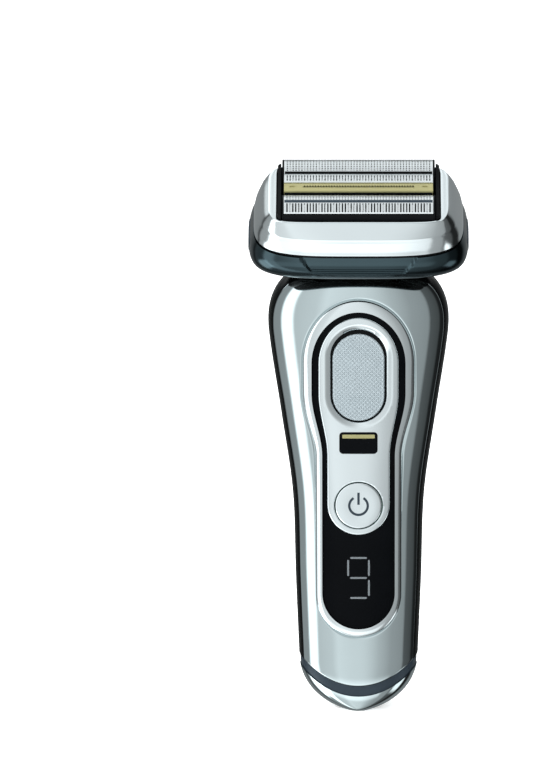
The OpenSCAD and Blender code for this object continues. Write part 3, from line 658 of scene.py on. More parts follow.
def add_grip():
    shares = np.concatenate([np.linspace(0, 0.9, 24), np.linspace(0.91, 1.0, 10)])
    edge = ease((1 - shares) / 0.12)[:, None]

    def ribs(z):
        wave = 0.5 + 0.5 * np.cos(2 * math.pi * z / 3.2)
        return GRIP_LOW + (GRIP_HIGH - GRIP_LOW - RIB_H) * edge**0.5 + RIB_H * edge * wave**2

    grip = back_plate(GRIP_R - 0.05, 360, shares, GRIP_LOW + 0.02, ribs)
    make(grip, "grip", "handle", "soft_rubber", ["rear_grip"])


# Half width, half depth and height of the inlet
INLET, INLET_WALL = (5.8, 3.1, 11.0), 1.1


def add_foot():
    band = handle_skin(-0.3)
    carve(band, below_smile(SMILE_Z - 0.02), "INTERSECT")
    carve(band, below_smile(SMILE_Z - BAND_H))
    dress(band, "band", "handle", "slate_band", ["bottom_band"], 40)
    cap = handle_skin(0.0)
    carve(cap, below_smile(SMILE_Z - BAND_H), "INTERSECT")
    outside = rounded_rectangle(INLET[0] + INLET_WALL, INLET[1] + INLET_WALL, 1.4)
    carve(cap, prism(outside, -30, 30, "z"))
    dress(cap, "cap", "handle", "chrome_shell", ["bottom_cap"], 40)
    socket = handle_block(-0.02)
    carve(socket, prism(outside, -5, INLET[2] + 1.5, "z"), "INTERSECT")
    carve(socket, prism(rounded_rectangle(INLET[0], INLET[1], 0.8), -5, INLET[2], "z"))
    dress(socket, "socket", "handle", "black_plastic", ["power_socket"], 40)


# ---- Controls ----------------------------------------------------------------------------------

THUMB_Z, THUMB_GAP = 103.0, 5.9
BUTTON_Z, BUTTON_R, BUTTON_TOP, BUTTON_DISH = 63.6, 6.95, 0.95, 0.22
LENS, LENS_Z = (11.2, 6.4), 82.7
DISPLAY_Z = 41.5


def add_rim():
    """Raised moulding round the black window, as a ring with a rounded profile."""
    inner, outer = field_loop(WINDOW, -0.02), field_loop(RIM)
    t = np.linspace(0, 1, 19)
    crown = 0.12 + 0.78 * np.sqrt(np.clip(1 - t**2.2, 0, 1)) * np.clip(t / 0.08 + 0.55, 0, 1)
    profile = [(0, -0.85), *zip(t, crown), (1, -0.85)]
    grid = [on_handle(inner + (outer - inner) * s, h) for s, h in profile]
    make(grid_shape(grid, close_rows=True), "rim", "handle", "pearl_silver", ["control_rim"], 60)


def field_disc(loop, middle, edges, count, top, roll, seat, sunk=None):
    """Closed plate over the front: loop is its outline, middle the line that it shrinks to.

    Its edge is rounded by roll, and sunk gives how far a point lies below the top.
    """
    reach = np.linalg.norm(loop - middle, axis=1)[:, None]
    shares = [np.minimum(d / reach, 1) for d in edges]
    shares += [shares[-1] + (1 - shares[-1]) * k / count for k in range(1, count + 1)]
    rows = np.array([loop + (middle - loop) * s for s in shares])
    depth = np.array([(s * reach)[:, 0] for s in shares])
    height = top + rolled(depth, roll)
    if sunk is not None:
        height = height - sunk(depth, rows)
    return grid_shape(np.concatenate([on_handle(rows, height)[::-1], on_handle(rows, seat)]))


def field_middle(loop, low, high):
    return cols(0.0, np.clip(loop[:, 1], low, high))


def layer_disc(sizes, edges, count, top, roll, seat):
    """Solid of a whole control layer, ready to be carved."""
    loop, bottom = field_loop(sizes), sizes[3] + sizes[2]
    disc = field_disc(loop, field_middle(loop, bottom, ARCH_Z), edges, count, top, roll, seat)
    return blank(disc, merge=True)


def front_drill(outline, layers):
    """Cutter over the front: the outline grows or shrinks with height, as (grow, offset) layers."""
    ahead = np.roll(outline, -1, 0) - np.roll(outline, 1, 0)
    ahead /= np.linalg.norm(ahead, axis=1, keepdims=True)
    out = cols(ahead[:, 1], -ahead[:, 0])
    if ((outline - outline.mean(axis=0)) * out).sum() < 0:
        out = -out
    return blank(loft([on_handle(outline + out * offset, grow) for grow, offset in layers]), merge=True)


def add_window():
    window = layer_disc(WINDOW, [0, 0.03, 0.07, 0.12, 0.4, 1.0], 12, 0.1, 0.12, -0.85)
    straight = [(-3, 0.0), (3, 0.0)]
    carve(window, front_drill(clean_loop(pill(9.4, THUMB_GAP, THUMB_Z), 160), straight))
    carve(window, front_drill(circle(BUTTON_R + 0.3, (0, BUTTON_Z), 96), straight))
    dress(window, "window", "handle", "clear_black", ["display_window"], 40)


def add_panel():
    edges = [0, 0.02, 0.06, 0.12, 0.2, 0.3, 0.42, 0.56, 0.9, 1.4]
    panel = layer_disc(PANEL, edges, 14, 0.7, 0.55, -0.28)
    thumb = clean_loop(pill(8.25, 5.75, THUMB_Z - 0.1), 200)
    flare = [(-2.0, 0.0), (-0.45, 0.0), (-0.1, 0.2), (0.45, 1.15), (0.62, 1.55), (0.72, 2.0), (1.5, 2.3)]
    carve(panel, front_drill(thumb, flare))
    lens = clean_loop(rounded_rectangle(LENS[0] / 2, LENS[1] / 2, 1.0, (0, LENS_Z)), 120)
    carve(panel, front_drill(lens, [(-2.0, 0.05), (0.6, 0.05), (0.8, 0.22), (1.2, 0.3)]))
    button = circle(BUTTON_R + 0.25, (0, BUTTON_Z), 128)
    carve(panel, front_drill(button, [(-2.0, 0.0), (0.5, 0.0), (0.66, 0.12), (0.8, 0.4), (1.5, 0.6)]))
    dress(panel, "panel", "handle", "pearl_silver", ["control_panel"], 30)


LOCK_TRAVEL, STEM_HALF, STEM_Z, LATCH_REACH = 1.6, 5.0, (92, 106), 13.3


def add_thumb_cup():
    """Dark floor of the thumb recess, below the pad, open for the stem."""
    loop = clean_loop(pill(9.3, THUMB_GAP, THUMB_Z), 200)
    middle = field_middle(loop, THUMB_Z - THUMB_GAP, THUMB_Z + THUMB_GAP)
    cup = blank(field_disc(loop, middle, [0, 0.5, 1.0], 6, -0.82, 0, -1.1), merge=True)
    carve(cup, slab(STEM_HALF + GAP, (-FAR, 0), (STEM_Z[0] - GAP, STEM_Z[1] + LOCK_TRAVEL + GAP)))
    dress(cup, "thumb_cup", "handle", "black_plastic")


def flat_disc(half_x, half_z, corner, z, points, reach, *shape):
    """Rounded rectangle at height z, which shrinks to a level line of half length reach."""
    loop = clean_loop(rounded_rectangle(half_x, half_z, corner, (0, z)), points)
    return field_disc(loop, cols(np.clip(loop[:, 0], -reach, reach), z), *shape)


def add_lens():
    edges = [0, 0.03, 0.08, 0.15, 0.22, 0.3]
    lens = flat_disc(LENS[0] / 2, LENS[1] / 2, 1.0, LENS_Z, 160, 2.4, edges, 8, 0.5, 0.3, -0.25)
    make(lens, "lens", "handle", "clear_black", ["lock_window"])
    mark = flat_disc(4.85, 0.6, 0.15, LENS_Z + 1.95, 80, 4.4, [0, 0.05, 0.1], 3, 0.54, 0.05, 0.45)
    make(mark, "lens_mark", "handle", "gold_coating")


def add_pad():
    """Thumb pad of the tilt lock with a crossed engraving."""
    loop = clean_loop(pill(7.7, 5.5, THUMB_Z - 0.55), 420)
    middle = field_middle(loop, THUMB_Z - THUMB_GAP, THUMB_Z + 5.3)
    groove = 0.2

    def engraving(depth, rows):
        x, z = rows[..., 0], rows[..., 1]
        cut = 0
        for way in (-1, 1):
            across = np.abs((x * way + z) / math.sqrt(2) / ENGRAVING % 1 - 0.5) * ENGRAVING
            cut = np.maximum(cut, 1 - np.clip(across / groove, 0, 1))
        return 0.2 * cut * ease((depth - 0.4) / 0.4) + 0.12 * (1 - ease(depth / 6))

    edges = [0, 0.03, 0.08, 0.15, 0.25, 0.38, 0.5, 0.62]
    pad = field_disc(loop, middle, edges, 46, -0.05, 0.5, -0.75, engraving)
    make(pad, "thumb_pad", "tilt_lock", "blue_grey_pad", ["lock_slider"])


def add_lock_bar():
    """Stem under the thumb pad, with the latch bar up to the head and the marked plate under the lens."""
    bar = handle_block(-0.72)
    carve(bar, slab(STEM_HALF, (-FAR, -8.8), STEM_Z), "INTERSECT")
    back = PIVOT[0] + 1.2
    boxes = [
        (STEM_HALF, (-9, back), (96, 100)),
        (LATCH_HALF, (back - 2.4, back), (97, 129)),
        (LATCH_HALF, around_pivot(0.5), (128, PIVOT[1] - LATCH_REACH)),
        (STEM_HALF, (-11.1, -10.7), (LENS_Z - 3.7, STEM_Z[0] + 1)),
    ]
    for limits in boxes:
        carve(bar, slab(*limits), "UNION")
    dress(bar, "lock_bar", "tilt_lock", "grey_plastic")


def dish(depth):
    """How far the button's face is sunk at a distance from its edge."""
    return BUTTON_DISH * ease((depth - 0.9) / 5.0)


def strip(one, other, lift=0.05, sink=0.15):
    """Thin raised strip between two open lines on the button."""
    rows = []
    for line, up in ((one, lift), (other, lift), (other, -sink), (one, -sink)):
        depth = BUTTON_R - np.linalg.norm(line - [0, BUTTON_Z], axis=-1)
        rows.append(on_handle(line, BUTTON_TOP - dish(depth) + up))
    count = len(one)
    faces = []
    for i in range(4):
        a, b = i * count, (i + 1) % 4 * count
        faces += [[a + k, a + k + 1, b + k + 1, b + k] for k in range(count - 1)]
    faces += [[i * count for i in range(4)], [i * count + count - 1 for i in range(3, -1, -1)]]
    return np.vstack(rows), faces


def add_button():
    loop, middle = circle(BUTTON_R, (0, BUTTON_Z), 192), cols(np.zeros(192), BUTTON_Z)
    edges = [0, 0.02, 0.06, 0.12, 0.2, 0.3, 0.4, 0.5, 0.7, 0.9]
    face = field_disc(loop, middle, edges, 16, BUTTON_TOP, 0.5, -1.2, lambda depth, rows: dish(depth))
    make(face, "button_face", "power_button", "pearl_silver", ["power_button"])
    ring_r, stroke, opening = 2.75, 0.36, math.radians(32)
    a = np.linspace(opening, 2 * math.pi - opening, 80)
    ring = [cols(r * np.sin(a), BUTTON_Z + r * np.cos(a)) for r in (ring_r + stroke, ring_r - stroke)]
    z = np.linspace(BUTTON_Z + 0.3, BUTTON_Z + 4.0, 24)
    sign = joined(strip(*ring), strip(cols(-stroke, z), cols(stroke, z)))
    make(sign, "power_sign", "power_button", "slate_band")


def add_digit():
    """Seven-segment figure in the black window."""
    half, height, bar = 3.1, 6.1, 0.28
    level = [((-half, z), (half, z)) for z in (-height, 0, height)]
    upright = [((-half, 0), (-half, height)), ((half, 0), (half, height)), ((half, -height), (half, 0))]
    segments = []
    for a, b in np.array(level + upright, float):
        ahead = (b - a) / np.linalg.norm(b - a)
        side = np.array([-ahead[1], ahead[0]]) * bar
        a, b = a + ahead * 0.55, b - ahead * 0.55
        ahead = ahead * bar
        outline = np.array([a, a + side + ahead, b + side - ahead, b, b - side - ahead, a - side + ahead])
        segments.append(loft([on_handle(outline + [0, DISPLAY_Z], grow) for grow in (0.13, 0.02)]))
    make(joined(*segments), "figure", "handle", "grey_plastic")

# ---- Head --------------------------------------------------------------------------------------

HEAD_POWER, HEAD_COLUMNS = 3.8, 520
# Radius of the base's belly, and the height below which the base is split off and painted near-black as
# shade
BELLY_R, PAINTED_SHADE_TOP = 13.2, -8.7
# Half width at each height above the parting plane, and the skirt's height and half depth
WINGS = [(-17.2, 25.3), (-14.5, 28.6), (-11.7, 30.7), (-8.8, 31.9), (-6, 32.6), (-3, 32.2), (0, 31.2)]
WINGS = np.array(WINGS)
SKIRT = [(-9.1, 13.8), (-8.6, 17.6), (-7.4, 19), (-5.5, 19.9), (-3, 20.3), (0, 19.6)]
# Half widths at the top and bottom of the recess in the base's front, and its height
RECESS = (17.5, 14.1, 4.6)
BUTTON_U, BUTTON_W = 6.0, (-7.15, -3.2)
BUTTON_MID = sum(BUTTON_W) / 2


def in_head(points):
    """Points x, u, w of the head turned into the part's frame."""
    points = np.asarray(points, float)
    x, u, w = points[..., 0], points[..., 1], points[..., 2]
    y = HEAD_Y + u * math.cos(TILT) - w * math.sin(TILT)
    return cols(x, y, HEAD_Z + u * math.sin(TILT) + w * math.cos(TILT))


def turned(piece):
    """Moves a solid made in the head's axes into the part's frame."""
    vertices = piece.data.vertices
    points = np.empty(len(vertices) * 3, np.float32)
    vertices.foreach_get("co", points)
    points = in_head(points.reshape(-1, 3) / MM) * MM
    vertices.foreach_set("co", points.astype(np.float32).ravel())
    piece.data.update()
    return piece


def mixed(one, other, at, start, end):
    return one + (other - one) * (at - start) / (end - start)


def through(points, count):
    """Smooth line through points, with count steps between each pair."""
    p = np.asarray(points, float)
    p = np.vstack([2 * p[0] - p[1], p, 2 * p[-1] - p[-2]])
    line = []
    for i in range(1, len(p) - 2):
        near = p[i - 1 : i + 3]
        steps = [max(math.dist(a, b), 1e-6) ** 0.5 for a, b in zip(near, near[1:])]
        k = np.concatenate([[0], np.cumsum(steps)])
        for t in np.linspace(k[1], k[2], count, endpoint=False):
            first = [mixed(near[j], near[j + 1], t, k[j], k[j + 1]) for j in range(3)]
            second = [mixed(first[j], first[j + 1], t, k[j], k[j + 2]) for j in range(2)]
            line.append(mixed(*second, t, k[1], k[2]))
    return np.array([*line, p[-2]])


def base_rows(grow):
    """Height, half width and half depth of the head base from its belly up to the parting plane."""
    a = arc(8, 66, 30)
    belly = cols(-PIVOT_DROP - BELLY_R * np.cos(a), BELLY_R * np.sin(a))
    line = np.vstack([belly, through([belly[-1], *SKIRT], 6)[1:]])
    round_recess = np.arange(-RECESS[2] - 0.9, -RECESS[2] + 0.6, 0.07)
    w = np.unique(np.concatenate([line[:, 0], round_recess]))
    half = along(WINGS, np.maximum(w, WINGS[0, 0]), 1)
    return cols(np.where(w < -5, w - grow, w), half + grow, np.interp(w, *line.T) + grow)


def base_rings(grow=0.0, recess=False):
    rings = []
    for w, half, depth in base_rows(grow):
        x, u = section(half, depth, depth, HEAD_POWER, HEAD_COLUMNS).T
        if recess and w > -8:
            edge = RECESS[0] + (RECESS[1] - RECESS[0]) * np.clip(-w / RECESS[2], 0, 1.5)
            across = ease((edge - np.abs(x)) / 0.5) * (u < 0)
            groove = math.exp(-(((w + RECESS[2] + 0.3) / 0.16) ** 2))
            u = u + across * (0.8 * ease((w + RECESS[2]) / 0.42) + 0.35 * groove)
        rings.append(in_head(cols(x, u, w)))
    return rings


def base_hollow():
    """Inside of the head base, open upward."""
    rings = base_rings(-1.5)
    rings[-1] = rings[-1] + in_head([0, 0, 2]) - in_head([0, 0, 0])
    return blank(loft(rings))


def add_head_base():
    base = blank(loft(base_rings(recess=True)))
    carve(base, base_hollow())
    for side in (-1, 1):
        slot = (side * (EAR_X[0] - 0.6), side * (EAR_X[1] + 0.6))
        carve(base, turned(box(slot, (-12.7, 4.4), (-FAR, -PIVOT_DROP))))
        carve(base, side_button(side, 0.3))
    carve(base, turned(slab(3, (-10.6, 1.6), (-FAR, -10))))
    # The belly of the base is split off and made near-black: painted shade at the collar between head and
    # handle
    belly = link("solid", base.data.copy())
    for piece, operation in ((belly, "INTERSECT"), (base, "DIFFERENCE")):
        carve(piece, turned(slab(FAR, (-FAR, FAR), (-FAR, PAINTED_SHADE_TOP))), operation)
    dress(belly, "base_belly_painted_shade", "head", "dark_shell")
    # The base shell's near-black silver is painted shade and dark reflection
    dress(base, "base_shell", "head", "satin_silver", ["head_base"])


def side_cutter(side, outline):
    """Outline u, w pushed along X through one side of the head."""
    return turned(prism(outline, side * 20, side * FAR, "x"))


def side_button(side, grow):
    half_w = (BUTTON_W[1] - BUTTON_W[0]) / 2
    return side_cutter(side, rounded_rectangle(BUTTON_U + grow, half_w + grow, 1.2 + grow, (0, BUTTON_MID)))


def add_release(side, word):
    """Ribbed release button with its catch."""
    piece = blank(loft(base_rings(0.15)))
    carve(piece, base_hollow())
    carve(piece, side_button(side, 0.0), "INTERSECT")
    for u in np.arange(-4, 4.1, 1.6):
        cutter = side_cutter(side, rounded_rectangle(0.28, 1.5, 0.27, (u, BUTTON_MID), 5))
        carve(cutter, blank(loft(base_rings(-0.35))))
        carve(piece, cutter)
    catch = turned(box((side * 26.4, side * 31.0), (-2, 2), (-6.6, -4.4)))
    carve(catch, turned(box((side * 26.4, side * 27.8), (-2, 2), (-6.6, 0.4))), "UNION")
    carve(piece, catch, "UNION")
    dress(piece, f"release_{word}", f"{word}_release", "slate_band", [f"release_button_{word}"])


# Height, half width, half depth and power of the cassette's sections
CASSETTE = np.array(
    [
        [0.8, 31.1, 19.5, 3.8],
        [3, 30.6, 19.2, 3.9],
        [6.1, 29.2, 18.2, 4.4],
        [7.7, 28.2, 16.6, 5.2],
        [9.3, 26.8, 14.8, 7],
    ]
)
CREASE_W = 6.1
OPENING, OPENING_CORNER = (24.1, 13.4), 1.4


def opening_ring(grow, w):
    """Rounded rectangle of the cassette's opening, sampled like the sections round it."""
    corner = OPENING_CORNER + grow
    a = np.linspace(0, math.pi / 2, 40)
    half_x, half_u = OPENING[0] + grow, OPENING[1] + grow
    front = cols(half_x - corner + corner * np.sin(a), -half_u + corner - corner * np.cos(a))
    right = np.vstack([[[0, -half_u]], front, front[::-1] * [1, -1], [[0, half_u]]])
    return cols(*mirrored(resample(right, HEAD_COLUMNS // 2 + 1)).T, w)


def cassette_ring(half, depth, power, w):
    return cols(*section(half, depth, depth, power, HEAD_COLUMNS).T, w)


def add_cassette():
    """White shell of the cassette: outside wall with its crease, rim and the wall of the opening."""
    rings = [cassette_ring(30.9, 19.25, 3.8, 0.8)]
    for w in np.concatenate([np.linspace(0.84, CREASE_W, 16), np.linspace(CREASE_W, 9.3, 14)[1:]]):
        half, depth, power = (along(CASSETTE, w, c) for c in (1, 2, 3))
        crease = -0.17 + 0.14 * math.exp(-(((w - CREASE_W) / 0.4) ** 2))
        rings.append(cassette_ring(half, depth + crease, power, w))
    rim = [(26.62, 14.66, 7.2, 9.5), (26.35, 14.45, 7.4, 9.62), (26.1, 14.25, 8.0, 9.65)]
    wall = [(0.3, 9.65), (0.1, 9.6), (0, 9.45), (0, 8.1), (0.6, 8.0)]
    inside = [(27.3, 16.6, 4.4, 6.0), (29.2, 17.8, 3.9, 3.0), (29.8, 18.2, 3.8, 0.8)]
    rings += [cassette_ring(*row) for row in rim] + [opening_ring(*row) for row in wall]
    rings += [cassette_ring(*row) for row in inside]
    shell = grid_shape(in_head(np.array(rings)), close_rows=True)
    make(shell, "cassette_shell", "cassette", "pearl_silver", ["cassette_frame"], 50)


# ---- Foils and guards --------------------------------------------------------------------------

FRONT_U, REAR_U, GOLD_U, COMB_U = -9.1, 9.1, -2.55, 2.4
FOIL_HALF, FOIL_R, FOIL_T = 22.0, 4.0, 0.3
CROWN_W, SKIRT_W = 10.74, 8.4
LEG, BOW = CROWN_W - SKIRT_W, math.pi * FOIL_R
GUARD_HALF, GUARD_T, GUARD_FOOT, GUARD_CORNER = 2.0, 0.4, 7.3, 0.5
COMB_TOP, GOLD_TOP = 13.7, 14.0
# Share of a cell that its hole opens, along X and along the run
FINE, TALL = (0.5, 0.55), (0.48, 0.9)


def channel(half, corner, top, foot, thickness):
    """Profile of a sheet bent over like a channel: gives the point u, w at a run from its front foot.

    Layer 0 is the outside and layer 1 the inside.
    """
    leg, bend, flat = top - corner - foot, corner * math.pi / 2, 2 * (half - corner)

    def point(run, layer):
        inset = layer * thickness
        if run > leg + bend + flat / 2:
            u, w = point(2 * (leg + bend) + flat - run, layer)
            return -u, w
        if run < leg:
            return inset - half, foot + run
        if run < leg + bend:
            angle = (run - leg) / corner
            r = corner - inset
            return corner - half - r * math.cos(angle), top - corner + r * math.sin(angle)
        return corner - half + run - leg - bend, top - inset

    return point


def band(start, end, rows=1, share=None, steps=1):
    """Strip of a sheet between two runs; share opens a hole in each cell, bent in steps."""
    return start, end, rows, share, steps


class Sheet:
    """Perforated sheet bent along X over a profile, with both skins and the walls of its holes."""

    def __init__(self, centre_u, profile):
        self.centre_u, self.profile = centre_u, profile
        self.points, self.faces, self.index = [], [], {}

    def corner(self, x, run, layer):
        key = (round(x, 4), round(run, 4), layer)
        if key not in self.index:
            self.index[key] = len(self.points)
            u, w = self.profile(run, layer)
            self.points.append((x, u + self.centre_u, w))
        return self.index[key]

    def quad(self, x0, x1, r0, r1, layer):
        return [self.corner(x, r, layer) for x, r in ((x0, r0), (x1, r0), (x1, r1), (x0, r1))]

    def plain(self, x0, x1, r0, r1):
        self.faces += [self.quad(x0, x1, r0, r1, 0), self.quad(x0, x1, r0, r1, 1)[::-1]]

    def wall(self, ends, flip):
        """Edge of the sheet between two points x, run."""
        (x0, r0), (x1, r1) = ends
        corners = ((x0, r0, 0), (x1, r1, 0), (x1, r1, 1), (x0, r0, 1))
        wall = [self.corner(*c) for c in corners]
        self.faces.append(wall[::-1] if flip else wall)

    @staticmethod
    def hole_runs(hx, hr, steps):
        """Cut of a hole's corners, and the runs of its straight sides about its middle."""
        cut = min(hx, hr) * 0.5
        return cut, np.linspace(-hr + cut, hr - cut, steps + 1)

    def holed(self, x0, x1, r0, r1, share, steps):
        """Cell with an eight-sided hole; a tall hole follows the bend in steps."""
        x, r = (x0 + x1) / 2, (r0 + r1) / 2
        hx, hr = (x1 - x0) / 2 * share[0], (r1 - r0) / 2 * share[1]
        cut, runs = self.hole_runs(hx, hr, steps)
        right = [(hx, v) for v in runs]
        loop = [(-hx + cut, -hr), (hx - cut, -hr), *right, (hx - cut, hr), (-hx + cut, hr)]
        loop += [(-a, v) for a, v in reversed(right)]
        loops = []
        for layer in (0, 1):
            c = self.quad(x0, x1, r0, r1, layer)
            hole = [self.corner(x + a, r + v, layer) for a, v in loop]
            after = [self.corner(x1, r + v, layer) for v in runs]
            before = [self.corner(x0, r + v, layer) for v in runs[::-1]]
            # The cell's edge, point for point round the hole
            edge = [c[0], c[1], *after, c[2], c[3], *before]
            quads = self.ring_quads(edge, hole)
            self.faces.extend(q if layer == 0 else q[::-1] for q in quads)
            loops.append(hole)
        for k in range(len(loops[0])):
            m = (k + 1) % len(loops[0])
            self.faces.append([loops[0][k], loops[0][m], loops[1][m], loops[1][k]])

    @staticmethod
    def ring_quads(edge, hole):
        """Quads between the edge of a cell and its hole, point by point."""
        pairs = [(k, (k + 1) % len(hole)) for k in range(len(hole))]
        return [[edge[k], edge[m], hole[m], hole[k]] for k, m in pairs]

    def build(self, half, columns, bands):
        xs = [-half, *np.linspace(-half + 0.5, half - 0.5, columns + 1), half]
        for start, end, rows, share, steps in bands:
            edges = np.linspace(start, end, rows + 1)
            for r0, r1 in zip(edges, edges[1:]):
                runs = [r0, r1]
                if share is not None:
                    sides = (xs[2] - xs[1]) / 2 * share[0], (r1 - r0) / 2 * share[1]
                    runs = [r0, *((r0 + r1) / 2 + self.hole_runs(*sides, steps)[1]), r1]
                for k in range(len(xs) - 1):
                    if share is not None and 0 < k < len(xs) - 2:
                        self.holed(xs[k], xs[k + 1], r0, r1, share, steps)
                        continue
                    for a, b in zip(runs, runs[1:]):
                        self.plain(xs[k], xs[k + 1], a, b)
                for x, flip in ((xs[0], False), (xs[-1], True)):
                    for a, b in zip(runs, runs[1:]):
                        self.wall(((x, a), (x, b)), flip)
        for run, flip in ((bands[0][0], True), (bands[-1][1], False)):
            for x0, x1 in zip(xs, xs[1:]):
                self.wall(((x0, run), (x1, run)), flip)
        return in_head(self.points), self.faces


def head_bar(outline, low, high):
    """Shape from an outline u, w pushed along X."""
    outline = np.asarray(outline, float)
    return loft([in_head(np.insert(outline, 0, x, axis=1)) for x in (low, high)])


def foil_bands(first, line, last, tall_first):
    """Rows of a foil: a plain foot, holes from first, a plain line, finer holes up to last."""
    low = band(first, line[0], 1, TALL, 6) if tall_first else band(first, line[0], 1, FINE)
    fine = band(line[1], last, round((last - line[1]) / 0.62), FINE)
    crown = [band(last, LEG + BOW, 4), band(LEG + BOW, 2 * LEG + BOW)]
    return [band(0, LEG), band(LEG, first, 2), low, band(*line, 2), fine, *crown]


def foil_painted_shade_line(u, line):
    """Dark strip over the foil between its two rows of holes: painted shade along the crease pressed there.
    """
    angle = (np.linspace(line[0] + 0.04, line[1] - 0.04, 9) - LEG) / FOIL_R
    sides = [cols(u - r * np.cos(angle), CROWN_W + r * np.sin(angle)) for r in (FOIL_R + 0.03, FOIL_R - 0.1)]
    return head_bar(np.vstack([sides[0], sides[1][::-1]]), 0.15 - FOIL_HALF, FOIL_HALF - 0.15)


def foil_frame(u, foot=6.3, top=11.75):
    """Black frame of a foil: an arch at each end and a strip along each foot."""
    a = np.linspace(0, math.pi, 40)
    bow = cols(u - FOIL_R * np.cos(a), CROWN_W + FOIL_R * np.sin(a))
    arch = np.vstack([[[u - FOIL_R, foot]], bow, [[u + FOIL_R, foot]]])
    shapes = [head_bar(arch, *ends) for ends in ((-22.6, -22.03), (22.03, 22.6))]
    for way in (-1, 1):
        near, far = u + way * (FOIL_R - 0.35), u + way * (FOIL_R + 0.09)
        outline = [(near, foot), (far, foot), (far, top - 0.15), (far - way * 0.1, top), (near, top)]
        shapes.append(head_bar(outline, -22.1, 22.1))
    return joined(*shapes)


def add_foils():
    last = LEG + BOW - 1.6
    profile = channel(FOIL_R, FOIL_R, CROWN_W + FOIL_R, SKIRT_W, FOIL_T)
    # Last entry: colour of each foil's dark strip, painted shade along its crease
    kinds = [
        ("front", FRONT_U, (LEG + 4.38, LEG + 5.4), True, "slate_band"),
        ("rear", REAR_U, (LEG + 2.1, LEG + 3.0), False, "black_plastic"),
    ]
    for side, u, line, tall, slot in kinds:
        body = f"{side}_shaving_foil"
        sheet = Sheet(u, profile).build(FOIL_HALF, 50, foil_bands(LEG + 1.3, line, last, tall))
        make(sheet, f"{side}_foil_sheet", body, "foil_steel", [f"{side}_foil"], 50)
        make(foil_painted_shade_line(u, line), f"{side}_foil_painted_shade_line", body, slot, (), 40)
        make(foil_frame(u), f"{side}_foil_frame", body, "black_plastic", [f"{side}_foil_holder"], 40)


def add_comb_guard():
    """Channel of the second centre trimmer with a comb of fine slots over its top."""
    leg, bend = COMB_TOP - GUARD_CORNER - GUARD_FOOT, GUARD_CORNER * math.pi / 2
    top = leg + 2 * bend + 2 * (GUARD_HALF - GUARD_CORNER)
    bands = [
        band(0, leg - 1.2),
        band(leg - 1.2, leg - 0.1, 1, (0.45, 0.85)),
        band(leg - 0.1, leg),
        band(leg, leg + bend, 3),
        band(leg + bend, top - bend, 2, (0.42, 0.86)),
        band(top - bend, top, 3),
        band(top, top + leg),
    ]
    sheet = Sheet(COMB_U, channel(GUARD_HALF, GUARD_CORNER, COMB_TOP, GUARD_FOOT, GUARD_T))
    shape = sheet.build(FOIL_HALF, 50, bands)
    make(shape, "comb_guard_sheet", "comb_trimmer", "foil_steel", ["comb_guard"], 50)


def add_gold_guard():
    """Gold bar with a toothed slit along its middle and a mark near each end."""
    size = (GUARD_HALF, (GOLD_TOP - GUARD_FOOT) / 2, 0.35, (GOLD_U, (GOLD_TOP + GUARD_FOOT) / 2), 4)
    bar = blank(head_bar(rounded_rectangle(*size), -FOIL_HALF, FOIL_HALF), merge=True)
    inside = (GOLD_U - GUARD_HALF + GUARD_T, GOLD_U + GUARD_HALF - GUARD_T)
    carve(bar, turned(slab(FOIL_HALF - 0.8, inside, (0, GOLD_TOP - GUARD_T))))
    low, high, tip, end = GOLD_U - 0.22, GOLD_U + 0.22, GOLD_U + 0.75, 16.5
    slit = [(-end, low), (end, low), (end, high)]
    for x in np.arange(16.1, -16.2, -0.8):
        slit += [(x + 0.22, high), (x + 0.18, tip), (x - 0.18, tip), (x - 0.22, high)]
    carve(bar, turned(prism([*slit, (-end, high)], GOLD_TOP - 1.5, GOLD_TOP + 1, "z")))
    for side in (-1, 1):
        mark = rounded_rectangle(0.75, 0.55, 0.2, (side * 19.6, GOLD_U), 4)
        carve(bar, turned(prism(mark, GOLD_TOP - 0.2, GOLD_TOP + 1, "z")))
    dress(bar, "gold_bar", "gold_trimmer", "gold_coating", ["gold_guard"], 40)
    face = rounded_rectangle(0.1, 3.0, 0.08, (GOLD_U - GUARD_HALF, GOLD_TOP - 3.65), 3)
    front = head_bar(face, 0.1 - FOIL_HALF, FOIL_HALF - 0.1)
    make(front, "gold_bar_front", "gold_trimmer", "black_plastic", (), 40)


# ---- CAD pieces that stay ----------------------------------------------------------------------

BEVELLED = dict(
    cassette_carrier=0.15,
    trimmer_carrier=0.4,
    trimmer_button=0.3,
    trimmer_comb=0.06,
    chassis=0.25,
    head_deck=0.1,
    main_board=0.05,
    motor_core=0.15,
    motor_coil=0.5,
    front_armature=0.15,
    rear_armature=0.15,
    case_screws=0.08,
    charge_contacts=0.1,
    socket_pins=0.2,
)


def finish_cad_nodes():
    slots = {row["node"]: row["material_slot"] for row in RECORD["subparts"]}
    for name, piece in NODES.items():
        piece.data.materials.clear()
        piece.data.materials.append(MATERIALS[slots[name]])
        if name in BEVELLED:
            bevel = piece.modifiers.new("soft edges", "BEVEL")
            bevel.width = BEVELLED[name] * MM
            bevel.segments = 2
            bevel.limit_method = "ANGLE"
            bevel.angle_limit = math.radians(40)
            bevel.harden_normals = False


# ---- Stage -------------------------------------------------------------------------------------

LENS_MM, SENSOR_MM = 400.0, 36.0
ELEVATION = math.radians(10.3)
DISTANCE = 2.52
# How far the part stands right of and below the middle, as a share of the frame height
ASIDE, LOW = 0.1112, 0.073


def aim(item, way):
    item.rotation_mode = "QUATERNION"
    item.rotation_quaternion = way.to_track_quat("-Z", "Y")


def add_camera():
    low, high = CAD_BOX
    data = bpy.data.cameras.new("camera")
    data.lens = LENS_MM
    data.sensor_width = SENSOR_MM
    data.shift_x, data.shift_y = -ASIDE, LOW
    data.clip_end = 20
    camera = link("camera", data)
    back = Vector((0, -math.cos(ELEVATION), math.sin(ELEVATION)))
    camera.location = Vector([(a + b) / 2 for a, b in zip(low, high)]) + back * DISTANCE
    aim(camera, -back)
    bpy.context.scene.camera = camera


